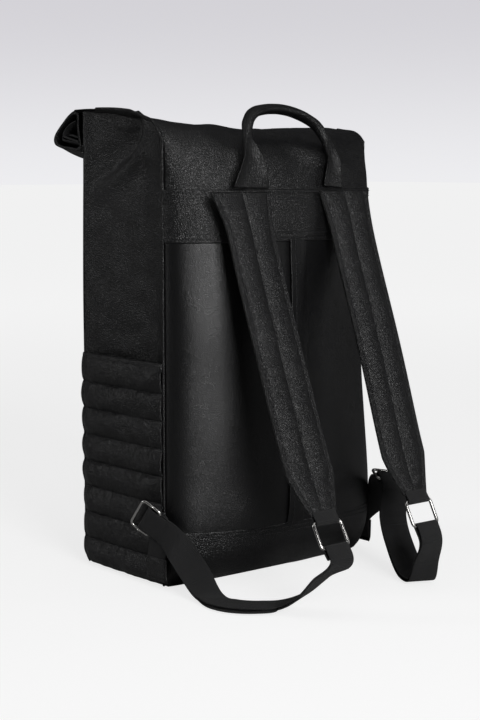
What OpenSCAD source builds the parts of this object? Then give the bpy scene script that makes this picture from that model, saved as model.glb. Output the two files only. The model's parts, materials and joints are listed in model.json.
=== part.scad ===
// Roll-top backpack of soft leather: quilted lower sides and front, two padded
// shoulder straps with rings and sliders, a rolled handle and a hidden back zip.
// +Z is up, the straps are on the -Y side, the origin is the middle of the underside.

/* [Bag] */
// Width between the two back corner seams
bag_w = 264; // [230:1:330]
// Depth of the side gussets
bag_d = 140; // [120:1:180]
// Height of the back corner seams
bag_h = 461; // [420:1:560]
// Height of the seam above the base
base_h = 57; // [40:1:75]
// How far the back panel stands out at its middle
back_bulge = 54; // [35:1:65]
// How far the front panel stands out at its middle
front_bulge = 25; // [15:1:35]
// Thickness of a leather wall with its backing
wall = 3; // [2:0.5:4]

/* [Quilting] */
// Height of the quilted side pockets
pocket_h = 229; // [180:1:260]
// Number of padded channels
channels = 8; // [5:1:10]
// How far a channel stands out
channel_rise = 3; // [1:0.5:5]
// Space between the side panel and the pocket wall
pocket_gap = 10; // [8:1:11]

/* [Back] */
// Height of the stitched band across the back
band_h = 50; // [30:1:70]
// Distance from the top of the band to the top of the corner seam
band_drop = 56; // [40:1:70]
// Length of the zip
zip_l = 230; // [160:1:260]

/* [Roll top] */
// Rise of the left end of the roof above the corner seams
rise_left = 30; // [15:1:40]
// Rise of the right end of the roof above the corner seams
rise_right = 14; // [8:1:40]
// Height of the roof's middle above the corner seams
rise_mid = 7; // [3:1:12]
// Depth of the roof from its back edge to the roll
roof_d = 150; // [125:1:180]

/* [Straps] */
// Width of a padded strap
strap_w = 60; // [45:1:70]
// Thickness of a padded strap
strap_t = 10; // [8:1:14]
// Distance between the strap centres
strap_gap = 139; // [120:1:160]
// Drop of a strap from its seam to its lower end
strap_drop = 307; // [260:1:330]
// Width of the webbing
webbing_w = 30; // [25:1:32]
// Thickness of one layer of webbing
webbing_t = 1.4; // [1:0.1:2]

/* [Metal] */
// Wire radius of the rings
ring_r = 1.75; // [1.25:0.05:2]
// Length of a ring between its top and bottom bars
ring_l = 26.5; // [22:0.5:30]
// Wire radius of the sliders
slider_r = 1.5; // [1:0.05:1.75]
// Length of a slider between its end bars
slider_l = 23; // [20:0.5:28]

/* [Handle] */
// Distance between the handle's ends
handle_span = 112; // [96:1:124]
// Height of the handle above its seam
handle_h = 76; // [65:1:95]
// Thickness of the rolled part
handle_r = 5.5; // [4.5:0.5:8]

/* [Hidden] */
$fn = 32;

leather = [0.06, 0.06, 0.065];
smooth_leather = [0.09, 0.09, 0.095];
cloth = [0.2, 0.2, 0.21];
nickel = [0.75, 0.75, 0.76];

clear = 0.3;
half_w = bag_w / 2;
half_d = bag_d / 2;
band_top = bag_h - band_drop;
band_z = band_top - band_h;
front_top = bag_h - 37;
lining_side = pocket_gap + wall + 2;
lining_back = 11;
lining_top = bag_h - 31;

// ---------- shared shapes ----------

function turn(q, flip) = flip ? [q[0], q[2], q[1]] : q;
function halves(a, b, c, d) = [[a, b, c], [a, c, d]];

// A closed solid between two grids of points. It can run round along a row, or close on its last row.
module skin(outs, ins, around = false, along = false) {
    rows = len(outs);
    cols = len(outs[0]);
    size = rows * cols;
    i_end = along ? rows : rows - 1;
    j_end = around ? cols : cols - 1;
    i_mid = floor(i_end / 2);
    j_mid = floor(j_end / 2);
    a = outs[i_mid][j_mid];
    b = outs[(i_mid + 1) % rows][j_mid];
    c = outs[(i_mid + 1) % rows][(j_mid + 1) % cols];
    flip = cross(b - a, c - a) * (a - ins[i_mid][j_mid]) > 0;
    function id(i, j, k) = (i % rows) * cols + (j % cols) + k * size;
    outer = [for (i = [0:i_end - 1]) for (j = [0:j_end - 1])
        each halves(id(i, j, 0), id(i + 1, j, 0), id(i + 1, j + 1, 0), id(i, j + 1, 0))];
    inner = [for (i = [0:i_end - 1]) for (j = [0:j_end - 1])
        each halves(id(i, j, 1), id(i, j + 1, 1), id(i + 1, j + 1, 1), id(i + 1, j, 1))];
    last_row = rows - 1;
    last_col = cols - 1;
    ends = along ? [] : [for (j = [0:j_end - 1]) each concat(
        halves(id(0, j, 0), id(0, j + 1, 0), id(0, j + 1, 1), id(0, j, 1)),
        halves(id(last_row, j + 1, 0), id(last_row, j, 0), id(last_row, j, 1), id(last_row, j + 1, 1)))];
    sides = around ? [] : [for (i = [0:i_end - 1]) each concat(
        halves(id(i, 0, 0), id(i, 0, 1), id(i + 1, 0, 1), id(i + 1, 0, 0)),
        halves(id(i, last_col, 0), id(i + 1, last_col, 0), id(i + 1, last_col, 1), id(i, last_col, 1)))];
    faces = [for (f = concat(outer, inner, ends, sides)) turn(f, flip)];
    polyhedron(concat([for (r = outs) each r], [for (r = ins) each r]), faces);
}

// A solid rod through rings of points
module rod(rings) {
    rows = len(rings);
    cols = len(rings[0]);
    middle = [for (r = [rings[0], rings[rows - 1]]) [for (i = [1:cols]) 1] * r / cols];
    size = rows * cols;
    a = rings[0][0];
    flip = cross(rings[1][0] - a, rings[1][1] - a) * (a - middle[0]) > 0;
    wall_faces = [for (i = [0:rows - 2]) for (j = [0:cols - 1]) each halves(i * cols + j,
        (i + 1) * cols + j, (i + 1) * cols + (j + 1) % cols, i * cols + (j + 1) % cols)];
    caps = [for (j = [0:cols - 1]) each [[j, (j + 1) % cols, size],
        [size - cols + (j + 1) % cols, size - cols + j, size + 1]]];
    faces = [for (f = concat(wall_faces, caps)) turn(f, flip)];
    polyhedron(concat([for (r = rings) each r], middle), faces);
}

function unit(v) = v / norm(v);
function steps(a, b, n) = [for (i = [0:n]) a + (b - a) * i / n];
function tangent(p, i) = unit(p[min(i + 1, len(p) - 1)] - p[max(i - 1, 0)]);
// A smooth curve through points, n steps between each two
function smooth_at(p, i, t) =
    let (a = p[max(i - 1, 0)], b = p[i], c = p[i + 1], d = p[min(i + 2, len(p) - 1)])
    0.5 * (2 * b + (c - a) * t + (2 * a - 5 * b + 4 * c - d) * t * t + (3 * b - a - 3 * c + d) * t * t * t);
function smooth(p, n) = [for (i = [0:len(p) - 2]) for (k = [0:n - 1]) smooth_at(p, i, k / n),
    p[len(p) - 1]];

// Rows of two edge points along a band whose width lies along X
function band_rows(path, widths, x, lift) = [for (i = [0:len(path) - 1])
    let (t = tangent(path, i), out = [0, t[2], -t[1]], p = path[i] + lift * out)
    [p + [x - widths[i] / 2, 0, 0], p + [x + widths[i] / 2, 0, 0]]];

// ---------- outline of the bag ----------

back_profile = [[0, 4], [base_h / 2, back_bulge - 14], [base_h, back_bulge - 4], [base_h + 55, back_bulge],
    [band_z, back_bulge], [band_top, back_bulge - 6], [band_top + 35, back_bulge - 16],
    [bag_h - 10, back_bulge - 32], [bag_h + 1, -2]];
front_profile = [[0, 4], [base_h, front_bulge - 7], [base_h + 150, front_bulge],
    [front_top - 60, front_bulge - 8], [front_top, 6]];
// Points across the back, from the right corner seam to the left one
function back_row(z, a0, a1, n, deep, proud = 0) = [for (a = steps(a0, a1, n))
    [(half_w - deep) * cos(a), -half_d - (lookup(z, back_profile) - deep + proud) * sin(a), z]];
function front_row(z, n, deep, proud = 0) = [for (a = steps(180, 0, n))
    [(half_w - deep) * cos(a), half_d + (lookup(z, front_profile) - deep + proud) * sin(a), z]];
// The angle across the back at a distance from the middle
function angle_at(x) = acos(x / half_w);
// Heights between two others where a profile changes slope, so every wall follows it alike
function levels(z0, z1, profile) = [z0, each [for (p = profile) if (p[0] > z0 && p[0] < z1) p[0]], z1];
// A stretch of back wall between two heights
module back_wall(z0, z1, a0, a1, n, deep = 0, thick = wall, proud = 0) {
    rows = levels(z0, z1, back_profile);
    skin([for (z = rows) back_row(z, a0, a1, n, deep, proud)],
        [for (z = rows) back_row(z, a0, a1, n, deep + thick)]);
}
function puff(z) = channel_rise * abs(sin(180 * channels * (z - wall) / (pocket_h - wall)));

// ---------- base ----------

module base_panel() {
    color(leather) linear_extrude(wall)
        polygon([for (p = concat(back_row(0, 0, 180, 16, 0), front_row(0, 16, 0))) [p[0], p[1]]]);
}

module base_board() {
    color(cloth) translate([lining_side + 2 - half_w, 12 - half_d, wall])
        cube([bag_w - 2 * lining_side - 4, bag_d - 24, 3]);
}

// ---------- back ----------

module back_base_panel() {
    color(leather) back_wall(wall, base_h, 0, 180, 28);
}

// The zip lies sunk in a slot between the two halves of the back
zip_w = 10;
zip_deep = wall + 1.1;
zip_a = angle_at(zip_w / 2);
module back_panel_right() {
    color(smooth_leather) back_wall(base_h, band_z, 0, zip_a, 14);
}

module back_panel_left() {
    color(smooth_leather) back_wall(base_h, band_z, 180 - zip_a, 180, 14);
}

module back_band() {
    color(leather) back_wall(band_z, band_top, 0, 180, 28, proud = 1);
}

module collar_back() {
    color(leather) back_wall(band_top, bag_h + 1, 0, 180, 28);
}

module zip_tape() {
    a = angle_at(12);
    color(cloth) back_wall(band_z - zip_l - 12, band_z - 4, a, 180 - a, 4, zip_deep, 1);
}

// The leather lip over the zip: sewn down on its right, open on its left
module zip_flap() {
    lip = [[12, 0.05], [8.5, 0.4], [6.5, 1.5], [-8, 1.8]];
    function lip_row(z, thick) = [for (p = lip)
        [p[0], -half_d - lookup(z, back_profile) * sin(angle_at(p[0])) - p[1] - thick, z]];
    color(smooth_leather) skin([for (z = [band_z - zip_l - 12, band_z - 4]) lip_row(z, 1.2)],
        [for (z = [band_z - zip_l - 12, band_z - 4]) lip_row(z, 0)]);
}

module zip_pocket() {
    color(cloth) back_wall(base_h + 60, band_z - 6, angle_at(80), 180 - angle_at(80), 12, zip_deep + 1.2, 1);
}

module back_foam() {
    color(cloth) back_wall(base_h + 5, band_top, 18, 162, 18, zip_deep + 2.4, 4);
}

slider_z = band_z - 25;
zip_y = -half_d - back_bulge + 2.1;
module zip_slider() {
    color(nickel) translate([0, zip_y, slider_z]) rotate([90, 0, 0]) difference() {
        linear_extrude(3.4, center = true) offset(1) square([6, 10], center = true);
        translate([0, -3, -3]) cylinder(h = 6, r = 1.2);
    }
}

module zip_puller() {
    color(nickel) translate([0, zip_y, slider_z - 3]) rotate([90, 0, 0]) {
        cylinder(h = 3, r = 1.15, center = true);
        translate([0, 0, 2.3]) linear_extrude(0.6) difference() {
            union() {
                translate([-2, -20]) square([4, 20]);
                circle(2.2);
            }
            translate([0, -17]) circle(1);
        }
        translate([0, 0, 1.4]) cylinder(h = 0.95, r = 1.15);
    }
}

// ---------- sides ----------

roof_y = -half_d + 5;
roof_front = roof_y + roof_d;
function end_rise(x) = x < 0 ? rise_left : rise_right;
// Height of the roof's top face over the corner seams, sagging towards the middle
function roof_rise(x, y) =
    let (w = pow(abs(x) / half_w, 2), f = (y - roof_y) / roof_d)
    rise_mid + w * (end_rise(x) - rise_mid) * min(1, 0.45 + 0.9 * f) - (1 - w) * 3 * sin(180 * f);
function roof_z(x, y) = bag_h + roof_rise(x, y);

// The gusset stands clear of the pocket and is pinched in higher up
function inset(y) = max(0, 1 - pow(abs(y) / (half_d - 4), 4));
function side_x(y) = half_w - pocket_gap * inset(y);
function gusset_top(y, side) = roof_z(side * side_x(y), max(y, roof_y)) - wall - 2;
function gusset_y(v, z) = v * half_d - max(0, v) * lookup(z, [[front_top - 40, 0], [front_top - 4, 9]]);
module side_panel(side) {
    function grid(thick) = [for (f = steps(0, 1, 12)) [for (v = steps(-1, 1, 12))
        let (z = wall + f * (gusset_top(v * half_d, side) - wall), y = gusset_y(v, z))
        [side * (side_x(v * half_d) - thick), y, z]]];
    color(leather) skin(grid(0), grid(wall));
}

module side_panel_left() {
    side_panel(-1);
}

module side_panel_right() {
    side_panel(1);
}

function quilt_x(y, z) = half_w + 2.5 + 3 * inset(y) + puff(z);
module side_quilt(side) {
    rows = steps(wall, pocket_h, channels * 5);
    cols = steps(2 - half_d, half_d - 2, 10);
    color(leather) skin([for (z = rows) [for (y = cols) [side * quilt_x(y, z), y, z]]],
        [for (z = rows) [for (y = cols) [side * half_w, y, z]]]);
}

module side_quilt_left() {
    side_quilt(-1);
}

module side_quilt_right() {
    side_quilt(1);
}

module pocket_binding(side) {
    rows = [pocket_h, pocket_h + 4];
    cols = steps(2 - half_d, half_d - 2, 10);
    color(leather) skin([for (z = rows) [for (y = cols) [side * (half_w + 3 + 3 * inset(y)), y, z]]],
        [for (z = rows) [for (y = cols) [side * (half_w + 0.2), y, z]]]);
}

module pocket_binding_left() {
    pocket_binding(-1);
}

module pocket_binding_right() {
    pocket_binding(1);
}

piping_r = 1.5;
module piping(side) {
    ring = [for (a = [0:60:300]) piping_r * [cos(a), sin(a)]];
    color(leather) rod([for (z = [pocket_h + 6, band_z, bag_h - 12]) [for (p = ring)
        [side * (half_w + piping_r + 0.05) + p[0], p[1] - half_d, z]]]);
}

module piping_left() {
    piping(-1);
}

module piping_right() {
    piping(1);
}

// ---------- front ----------

module front_quilt() {
    rows = steps(wall, pocket_h, channels * 5);
    color(leather) skin([for (z = rows) front_row(z, 16, 0, puff(z) + 1)],
        [for (z = rows) front_row(z, 16, wall)]);
}

module front_panel() {
    rows = levels(pocket_h, front_top, front_profile);
    color(leather) skin([for (z = rows) front_row(z, 16, 0)], [for (z = rows) front_row(z, 16, wall)]);
}

// ---------- inside ----------

module lining() {
    function ring(z, thick) = concat(
        [for (a = steps(0, 180, 14)) [(half_w - lining_side - thick) * cos(a),
            -half_d - (lookup(z, back_profile) - lining_back - thick) * sin(a), z]],
        [for (a = steps(180, 0, 14)) [(half_w - lining_side - thick) * cos(a),
            half_d - 8 + (min(lookup(z, front_profile), 8) - thick) * sin(a), z]]);
    rows = levels(wall + 4, lining_top, back_profile);
    color(cloth) skin([for (z = rows) ring(z, 0)], [for (z = rows) ring(z, 1)], around = true);
}

module laptop_sleeve() {
    color(cloth) translate([lining_side + 6 - half_w, -half_d, wall + 6])
        cube([bag_w - 2 * lining_side - 12, 5, bag_h * 0.62]);
}

// ---------- roll top ----------

function roof_grid(drop) = [for (x = steps(wall + 1 - half_w, half_w - wall - 1, 16))
    [for (f = steps(0, 1, 8)) let (y = roof_y + f * roof_d + f * 10 * (1 - pow(x / half_w, 2)))
        [x, y, roof_z(x, y) - drop]]];
module collar_top() {
    color(leather) skin(roof_grid(0), roof_grid(wall));
}

// Section of the roll from its upper back edge, going forward, down and back
roll_section = [[1, -1], [15, -5], [27, -14], [44, -27], [43, -34], [28, -39], [6, -43], [-9, -46],
    [-12, -38], [-7, -18]];
roll_mid = [14, -24];
function roll_ring(x, scale) =
    let (y = roof_front + 10 * (1 - pow(x / half_w, 2)), z = roof_z(x, roof_front))
    [for (p = roll_section) let (q = roll_mid + (p - roll_mid) * scale) [x, y + q[0] + 0.5, z + q[1]]];
roll_x = steps(4 - half_w, half_w - 4, 10);
module roll() {
    color(leather) skin([for (x = roll_x) roll_ring(x, 1)], [for (x = roll_x) roll_ring(x, 0.72)],
        around = true);
}

module roll_stiffener() {
    edge = [[-2, -33], [26, -27]];
    function row(x, drop) = [for (e = edge) [x, roof_front + 10 * (1 - pow(x / half_w, 2)) + e[0],
        roof_z(x, roof_front) + e[1] - drop]];
    color(cloth) skin([for (x = roll_x) row(x, 0)], [for (x = roll_x) row(x, 2)]);
}

tab_w = 36;
tab_l = 62;
tab_drop = tab_l - tab_w / 2;
tab_y = roof_front + 10 + 2;
tab_z = roof_z(0, roof_front) - 45;
tab_tilt = asin((tab_y - half_d - lookup(tab_z - tab_l, front_profile) - 2) / tab_l);
// Space behind the tab at its snap, which the socket fills
snap_gap = tab_y - tab_drop * sin(tab_tilt) - half_d - lookup(tab_z - tab_drop, front_profile);
// The tab hangs from the roll and leans back on to the front panel
module tab_pose() {
    translate([0, tab_y, tab_z]) rotate([90 - tab_tilt, 0, 0]) children();
}

module closure_tab() {
    color(leather) tab_pose() linear_extrude(2.4, center = true) difference() {
        union() {
            translate([-tab_w / 2, -tab_drop]) square([tab_w, tab_drop]);
            translate([0, -tab_drop]) circle(tab_w / 2);
        }
        translate([0, -tab_drop]) circle(5);
    }
}

module snap_cap() {
    color(nickel) tab_pose() translate([0, -tab_drop, 0]) {
        translate([0, 0, -2.6]) cylinder(h = 1.4, r = 7);
        translate([0, 0, -1.4]) cylinder(h = 3.2, r = 4.9);
    }
}

module snap_socket() {
    color(nickel) tab_pose() translate([0, -tab_drop, 2.1]) cylinder(h = snap_gap - 3.8, r = 7);
}

// ---------- handle ----------

handle_z = band_top + 5;
handle_y = -half_d - back_bulge + 3.3;
handle_lean = 25;
// Sections of the handle from the left seam to the right: place, half width, half thickness
handle_arch = [for (a = [180, 174, 166, 150, 125, 90, 55, 30, 14, 6, 0]) a];
handle_edge = [27, 25, 19, handle_r + 1, handle_r, handle_r, handle_r, handle_r + 1, 19, 25, 27];
handle_depth = [2.6, 2.8, 3.6, handle_r - 1, handle_r, handle_r, handle_r, handle_r - 1, 3.6, 2.8, 2.6];
function handle_lift(a) = handle_h * pow(sin(a), 0.55);
function handle_point(a) = [handle_span / 2 * cos(a) * (1 - 0.1 * sin(a)),
    handle_y + handle_lean * handle_lift(a) / handle_h, handle_z + handle_lift(a)];
handle_path = [for (a = handle_arch) handle_point(a)];
function handle_ring(i, shrink) =
    let (t = i == 0 ? [0, 0, 1] : (i == len(handle_path) - 1 ? [0, 0, -1] : tangent(handle_path, i)),
        out = [0, -1, 0], across = unit(cross(t, out)), deep = unit(cross(across, t)),
        w = handle_edge[i] - shrink, d = handle_depth[i] - shrink)
    [for (a = [0:30:330]) handle_path[i] + w * cos(a) * across + d * sin(a) * deep];
module handle_cover() {
    color(leather) skin([for (i = [0:len(handle_path) - 1]) handle_ring(i, 0)],
        [for (i = [0:len(handle_path) - 1]) handle_ring(i, 1.6)], around = true);
}

module handle_core() {
    color(cloth) rod([for (i = [2:len(handle_path) - 3]) handle_ring(i, 1.9)]);
}

// ---------- straps ----------

strap_y = -half_d - back_bulge + 2;
strap_z = band_top + 1;
strap_reach_left = 118;
strap_reach_right = 106;
function reach(side) = side < 0 ? strap_reach_left : strap_reach_right;
function strap_x(side) = side * strap_gap / 2;
// Middle of a strap's thickness, steeper near its seam
function strap_at(side, t) =
    let (a = [strap_y, strap_z - 2], c = [strap_y - reach(side), strap_z - 2 - strap_drop],
        b = (a + c) / 2 + [reach(side) * 0.21, -16],
        p = a * (1 - t) * (1 - t) + b * 2 * t * (1 - t) + c * t * t)
    [0, p[0], p[1]];
strap_steps = steps(0, 1, 18);
function strap_path(side) = [for (t = strap_steps) strap_at(side, t)];
function strap_width(t) = t < 0.88 ? strap_w : strap_w + (webbing_w + 2 - strap_w) * (t - 0.88) / 0.12;
module strap_layer(side, low, high, narrow) {
    path = strap_path(side);
    widths = [for (t = strap_steps) strap_width(t) - narrow];
    skin(band_rows(path, widths, strap_x(side), high), band_rows(path, widths, strap_x(side), low));
}
skin_t = 2;
module strap_cover(side) {
    color(leather) strap_layer(side, -strap_t / 2, -strap_t / 2 + skin_t, 0);
}

module strap_pad(side) {
    color(cloth) strap_layer(side, -strap_t / 2 + skin_t, strap_t / 2 - skin_t, 10);
}

module strap_backing(side) {
    color(leather) strap_layer(side, strap_t / 2 - skin_t, strap_t / 2, 0);
}

function strap_end(side) = strap_at(side, 1);
function strap_dir(side) = unit(strap_at(side, 1) - strap_at(side, 0.97));
function strap_tilt(side) = atan2(strap_dir(side)[1], -strap_dir(side)[2]);
bar_drop = 7;
function ring_top(side) = [strap_x(side), 0, 0] + strap_end(side) + bar_drop * strap_dir(side);
// The loop of webbing that holds the ring's top bar
module strap_tab(side) {
    loop_in = ring_r + clear;
    loop_out = loop_in + webbing_t;
    color(cloth) translate(ring_top(side)) rotate([strap_tilt(side), 0, 0])
        translate([-webbing_w / 2, 0, 0]) rotate([90, 0, 90]) linear_extrude(webbing_w) difference() {
            union() {
                circle(loop_out);
                translate([-loop_out, 0]) square([2 * loop_out, bar_drop - clear]);
            }
            circle(loop_in);
            translate([-loop_in, 0]) square([2 * loop_in, bar_drop]);
        }
}

module strap_left_cover() {
    strap_cover(-1);
}

module strap_left_pad() {
    strap_pad(-1);
}

module strap_left_backing() {
    strap_backing(-1);
}

module strap_left_tab() {
    strap_tab(-1);
}

module strap_right_cover() {
    strap_cover(1);
}

module strap_right_pad() {
    strap_pad(1);
}

module strap_right_backing() {
    strap_backing(1);
}

module strap_right_tab() {
    strap_tab(1);
}

// ---------- rings and sliders ----------

// A rounded rectangle of wire in the XZ plane, from z = 0 down to -l
module wire_frame(w, l, r, bend) {
    translate([0, 0, -l / 2]) rotate([90, 0, 0]) for (quarter = [0:3]) {
        side = quarter % 2 == 0 ? [w, l] / 2 : [l, w] / 2;
        rotate(90 * quarter) {
            translate([side[0] - bend, side[1] - bend, 0])
                rotate_extrude(angle = 90) translate([bend, 0]) circle(r);
            translate([side[0], bend - side[1], 0]) rotate([-90, 0, 0])
                cylinder(h = 2 * (side[1] - bend), r = r);
        }
    }
}

ring_w = webbing_w + 2 * ring_r + 1.6;
ring_bend = 2.4;
module ring(side) {
    color(nickel) translate(ring_top(side)) rotate([strap_tilt(side), 0, 0])
        wire_frame(ring_w, ring_l, ring_r, ring_bend);
}

module ring_left() {
    ring(-1);
}

module ring_right() {
    ring(1);
}

slider_w = webbing_w + 2 * slider_r + 2;
// Middle of each slider's centre bar, and the ways its bar and its short side lie
slider_place_left = [-half_w - 19, -half_d + 6.5, 75];
slider_place_right = [half_w - 10, -half_d - 70, 96];
function slider_place(side) = side < 0 ? slider_place_left : slider_place_right;
function bar_way(side) = unit(side < 0 ? [0, 0.64, -0.77] : [-0.88, 0.45, 0.16]);
function square_to(v, w) = unit(v - (v * w) * w);
function down_way(side) = square_to(side < 0 ? [0.47, -0.68, -0.57] : [-0.47, -0.85, -0.25], bar_way(side));
module slider_pose(side) {
    b = bar_way(side);
    d = down_way(side);
    n = cross(b, d);
    p = slider_place(side);
    multmatrix([[b[0], n[0], -d[0], p[0]], [b[1], n[1], -d[1], p[1]], [b[2], n[2], -d[2], p[2]]])
        children();
}
module slider_frame(side) {
    color(nickel) slider_pose(side) translate([0, 0, slider_l / 2])
        wire_frame(slider_w, slider_l, slider_r, 4);
}

module slider_bar(side) {
    reach = slider_w / 2 - slider_r - clear;
    color(nickel) slider_pose(side) rotate([0, 90, 0]) {
        cylinder(h = 2 * reach, r = slider_r, center = true);
    }
}

module slider_left_frame() {
    slider_frame(-1);
}

module slider_left_bar() {
    slider_bar(-1);
}

module slider_right_frame() {
    slider_frame(1);
}

module slider_right_bar() {
    slider_bar(1);
}

// ---------- webbing ----------

function ring_low(side) = ring_top(side) + ring_l * strap_dir(side);
// A point at a height over the floor, placed in plan from another point
function near(p, x, y, z) = [p[0] + x, p[1] + y, z];
// Route of the doubled webbing from the slider to the ring, and the way its width lies
function route(side) =
    let (a = slider_place(side), r = ring_low(side))
    concat([a, a + 14 * down_way(side), a + 20 * down_way(side)], side < 0
        ? [near(a, 11, -34.5, 52.5), near(a, 20.5, -51.5, 27), near(a, 22, -74.5, 6),
            near(a, 18, -108.5, 4.5), near(r, -46.5, 61, 4.5), near(r, -28.5, 50, 5.5),
            near(r, -20.5, 26, 18), near(r, -11.5, 8, 38)]
        : [near(a, -18, -23, 57), near(a, -27, -44, 28), near(r, 17.5, 34, 5.5), near(r, 10.5, 16, 6),
            near(r, 5.5, 5, 26)],
        [r + 14 * strap_dir(side), r]);
function lie(side) = concat([bar_way(side), bar_way(side), bar_way(side)], side < 0
    ? [[-0.35, 0.45, -0.82], [-0.8, 0.3, -0.5], [-1, 0.1, 0], [-0.98, -0.19, 0], [-0.7, -0.72, 0],
        [-0.83, -0.55, 0], [-0.9, -0.43, 0], [-0.98, -0.2, 0]]
    : [[-0.88, 0.46, 0.05], [-0.88, 0.46, 0], [-0.88, 0.46, 0], [-0.9, 0.42, 0], [-0.96, 0.25, 0]],
    [[-1, 0, 0], [-1, 0, 0]]);
// Half the space between the two layers: wide round a bar, nearly closed between
half_gap = [[0, ring_r + clear], [0.18, ring_r + clear], [0.32, 0.2], [0.7, 0.2], [0.84, ring_r + clear],
    [1, ring_r + clear]];
route_steps = 3;
module webbing(side) {
    path = smooth(route(side), route_steps);
    ways = [for (w = smooth(lie(side), route_steps)) unit(w)];
    n = len(path) - 1;
    function out_at(i) = unit(cross(tangent(path, i), ways[i]));
    function edge(p, i) = [p - ways[i] * webbing_w / 2, p + ways[i] * webbing_w / 2];
    function layer(i, s, more) = edge(path[i] + s * (lookup(i / n, half_gap) + more) * out_at(i), i);
    function turn_round(i, s, more) = [for (a = [30:30:150]) edge(path[i]
        + s * (lookup(i / n, half_gap) + more) * (cos(a) * out_at(i) + sin(a) * tangent(path, i)), i)];
    function loop(more) = concat([for (i = [0:n]) layer(i, 1, more)], turn_round(n, 1, more),
        [for (i = [n:-1:0]) layer(i, -1, more)], turn_round(0, -1, more));
    color(cloth) {
        skin(loop(webbing_t), loop(0), along = true);
        tail(side);
    }
}
// The single layer from the slider down to the anchor
anchor_y = 3 - half_d;
anchor_z = 30;
patch_w = webbing_w + 4;
patch_x = half_w + 2.5 + 3 * inset(anchor_y + patch_w / 2) + channel_rise + 0.05;
function anchor_place(side) = [side * (patch_x + 1), anchor_y, anchor_z];
module tail(side) {
    inner = -cross(bar_way(side), down_way(side));
    start = slider_place(side) + (ring_r + clear + webbing_t + 0.2) * inner;
    end = anchor_place(side) + [0, 0, 6];
    path = smooth(side < 0 ? [start, start + 14 * down_way(side), end]
        : [start, start - 14 * down_way(side) + 3 * inner, (start + end) / 2 + [7, 0, 4], end], 4);
    ways = [for (w = smooth(side < 0 ? [bar_way(side), bar_way(side), [0, 1, 0]]
        : [bar_way(side), bar_way(side), [-0.3, 0.94, 0.1], [0, 1, 0]], 4)) unit(w)];
    function row(i, s) =
        let (out = unit(cross(tangent(path, i), ways[i])), p = path[i] + s * webbing_t / 2 * out)
        [p - ways[i] * webbing_w / 2, p + ways[i] * webbing_w / 2];
    skin([for (i = [0:len(path) - 1]) row(i, 1)], [for (i = [0:len(path) - 1]) row(i, -1)]);
}

module webbing_left() {
    webbing(-1);
}

module webbing_right() {
    webbing(1);
}

module anchor(side) {
    color(leather) translate([side * (patch_x + 1.25), anchor_y, anchor_z - 9])
        cube([2.5, patch_w, 26], center = true);
}

module anchor_left() {
    anchor(-1);
}

module anchor_right() {
    anchor(1);
}

base_panel();
base_board();
back_base_panel();
back_panel_left();
back_panel_right();
back_band();
collar_back();
side_panel_left();
side_panel_right();
side_quilt_left();
side_quilt_right();
pocket_binding_left();
pocket_binding_right();
front_quilt();
front_panel();
piping_left();
piping_right();
lining();
back_foam();
laptop_sleeve();
zip_tape();
zip_flap();
zip_pocket();
zip_slider();
zip_puller();
anchor_left();
anchor_right();
webbing_left();
webbing_right();
snap_socket();
collar_top();
roll();
roll_stiffener();
closure_tab();
snap_cap();
handle_cover();
handle_core();
strap_left_cover();
strap_left_pad();
strap_left_backing();
strap_left_tab();
strap_right_cover();
strap_right_pad();
strap_right_backing();
strap_right_tab();
ring_left();
ring_right();
slider_left_frame();
slider_left_bar();
slider_right_frame();
slider_right_bar();
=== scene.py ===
import json
import math

import bmesh
import bpy
import numpy as np
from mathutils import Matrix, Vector


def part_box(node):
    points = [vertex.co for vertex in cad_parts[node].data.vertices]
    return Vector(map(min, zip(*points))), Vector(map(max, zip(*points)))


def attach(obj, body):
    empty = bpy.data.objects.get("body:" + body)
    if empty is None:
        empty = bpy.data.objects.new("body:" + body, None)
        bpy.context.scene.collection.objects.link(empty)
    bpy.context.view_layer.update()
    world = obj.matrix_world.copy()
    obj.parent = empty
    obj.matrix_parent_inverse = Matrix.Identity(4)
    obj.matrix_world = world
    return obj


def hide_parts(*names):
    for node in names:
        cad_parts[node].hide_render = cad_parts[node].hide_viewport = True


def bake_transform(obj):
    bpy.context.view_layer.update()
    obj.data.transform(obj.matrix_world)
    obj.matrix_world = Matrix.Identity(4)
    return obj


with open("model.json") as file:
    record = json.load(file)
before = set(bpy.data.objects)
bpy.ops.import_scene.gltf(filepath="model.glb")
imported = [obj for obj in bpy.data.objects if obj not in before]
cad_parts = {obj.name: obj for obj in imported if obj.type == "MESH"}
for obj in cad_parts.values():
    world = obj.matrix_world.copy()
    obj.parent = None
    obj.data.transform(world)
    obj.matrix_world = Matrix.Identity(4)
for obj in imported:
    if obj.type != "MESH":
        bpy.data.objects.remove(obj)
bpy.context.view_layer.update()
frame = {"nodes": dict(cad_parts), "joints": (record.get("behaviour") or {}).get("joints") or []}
print("frame loaded")


def boxOf(node):
    low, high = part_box(node)
    return np.array(low), np.array(high)


def jointOf(name):
    return next(joint for joint in frame["joints"] if joint["name"] == name)


halfW = boxOf("back_band")[1][0]
halfD = boxOf("side_panel_left")[1][1]
baseTop = boxOf("back_base_panel")[1][2]
bandLow, bandHigh = boxOf("back_band")[0][2], boxOf("back_band")[1][2]
pocketTop = boxOf("side_quilt_left")[1][2]
ridgeZ = boxOf("collar_back")[1][2]
backOut = -boxOf("back_panel_left")[0][1] - halfD
frontOut = boxOf("front_panel")[1][1] - halfD
roofEnd = boxOf("collar_top")[1][1] - 0.010
roofLeft = boxOf("collar_top")[1][2]


view = {"place": (-1.0954, -1.3375, 0.430), "heading": 40.0, "pitch": -6.96, "lens": 79.5}


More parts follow.
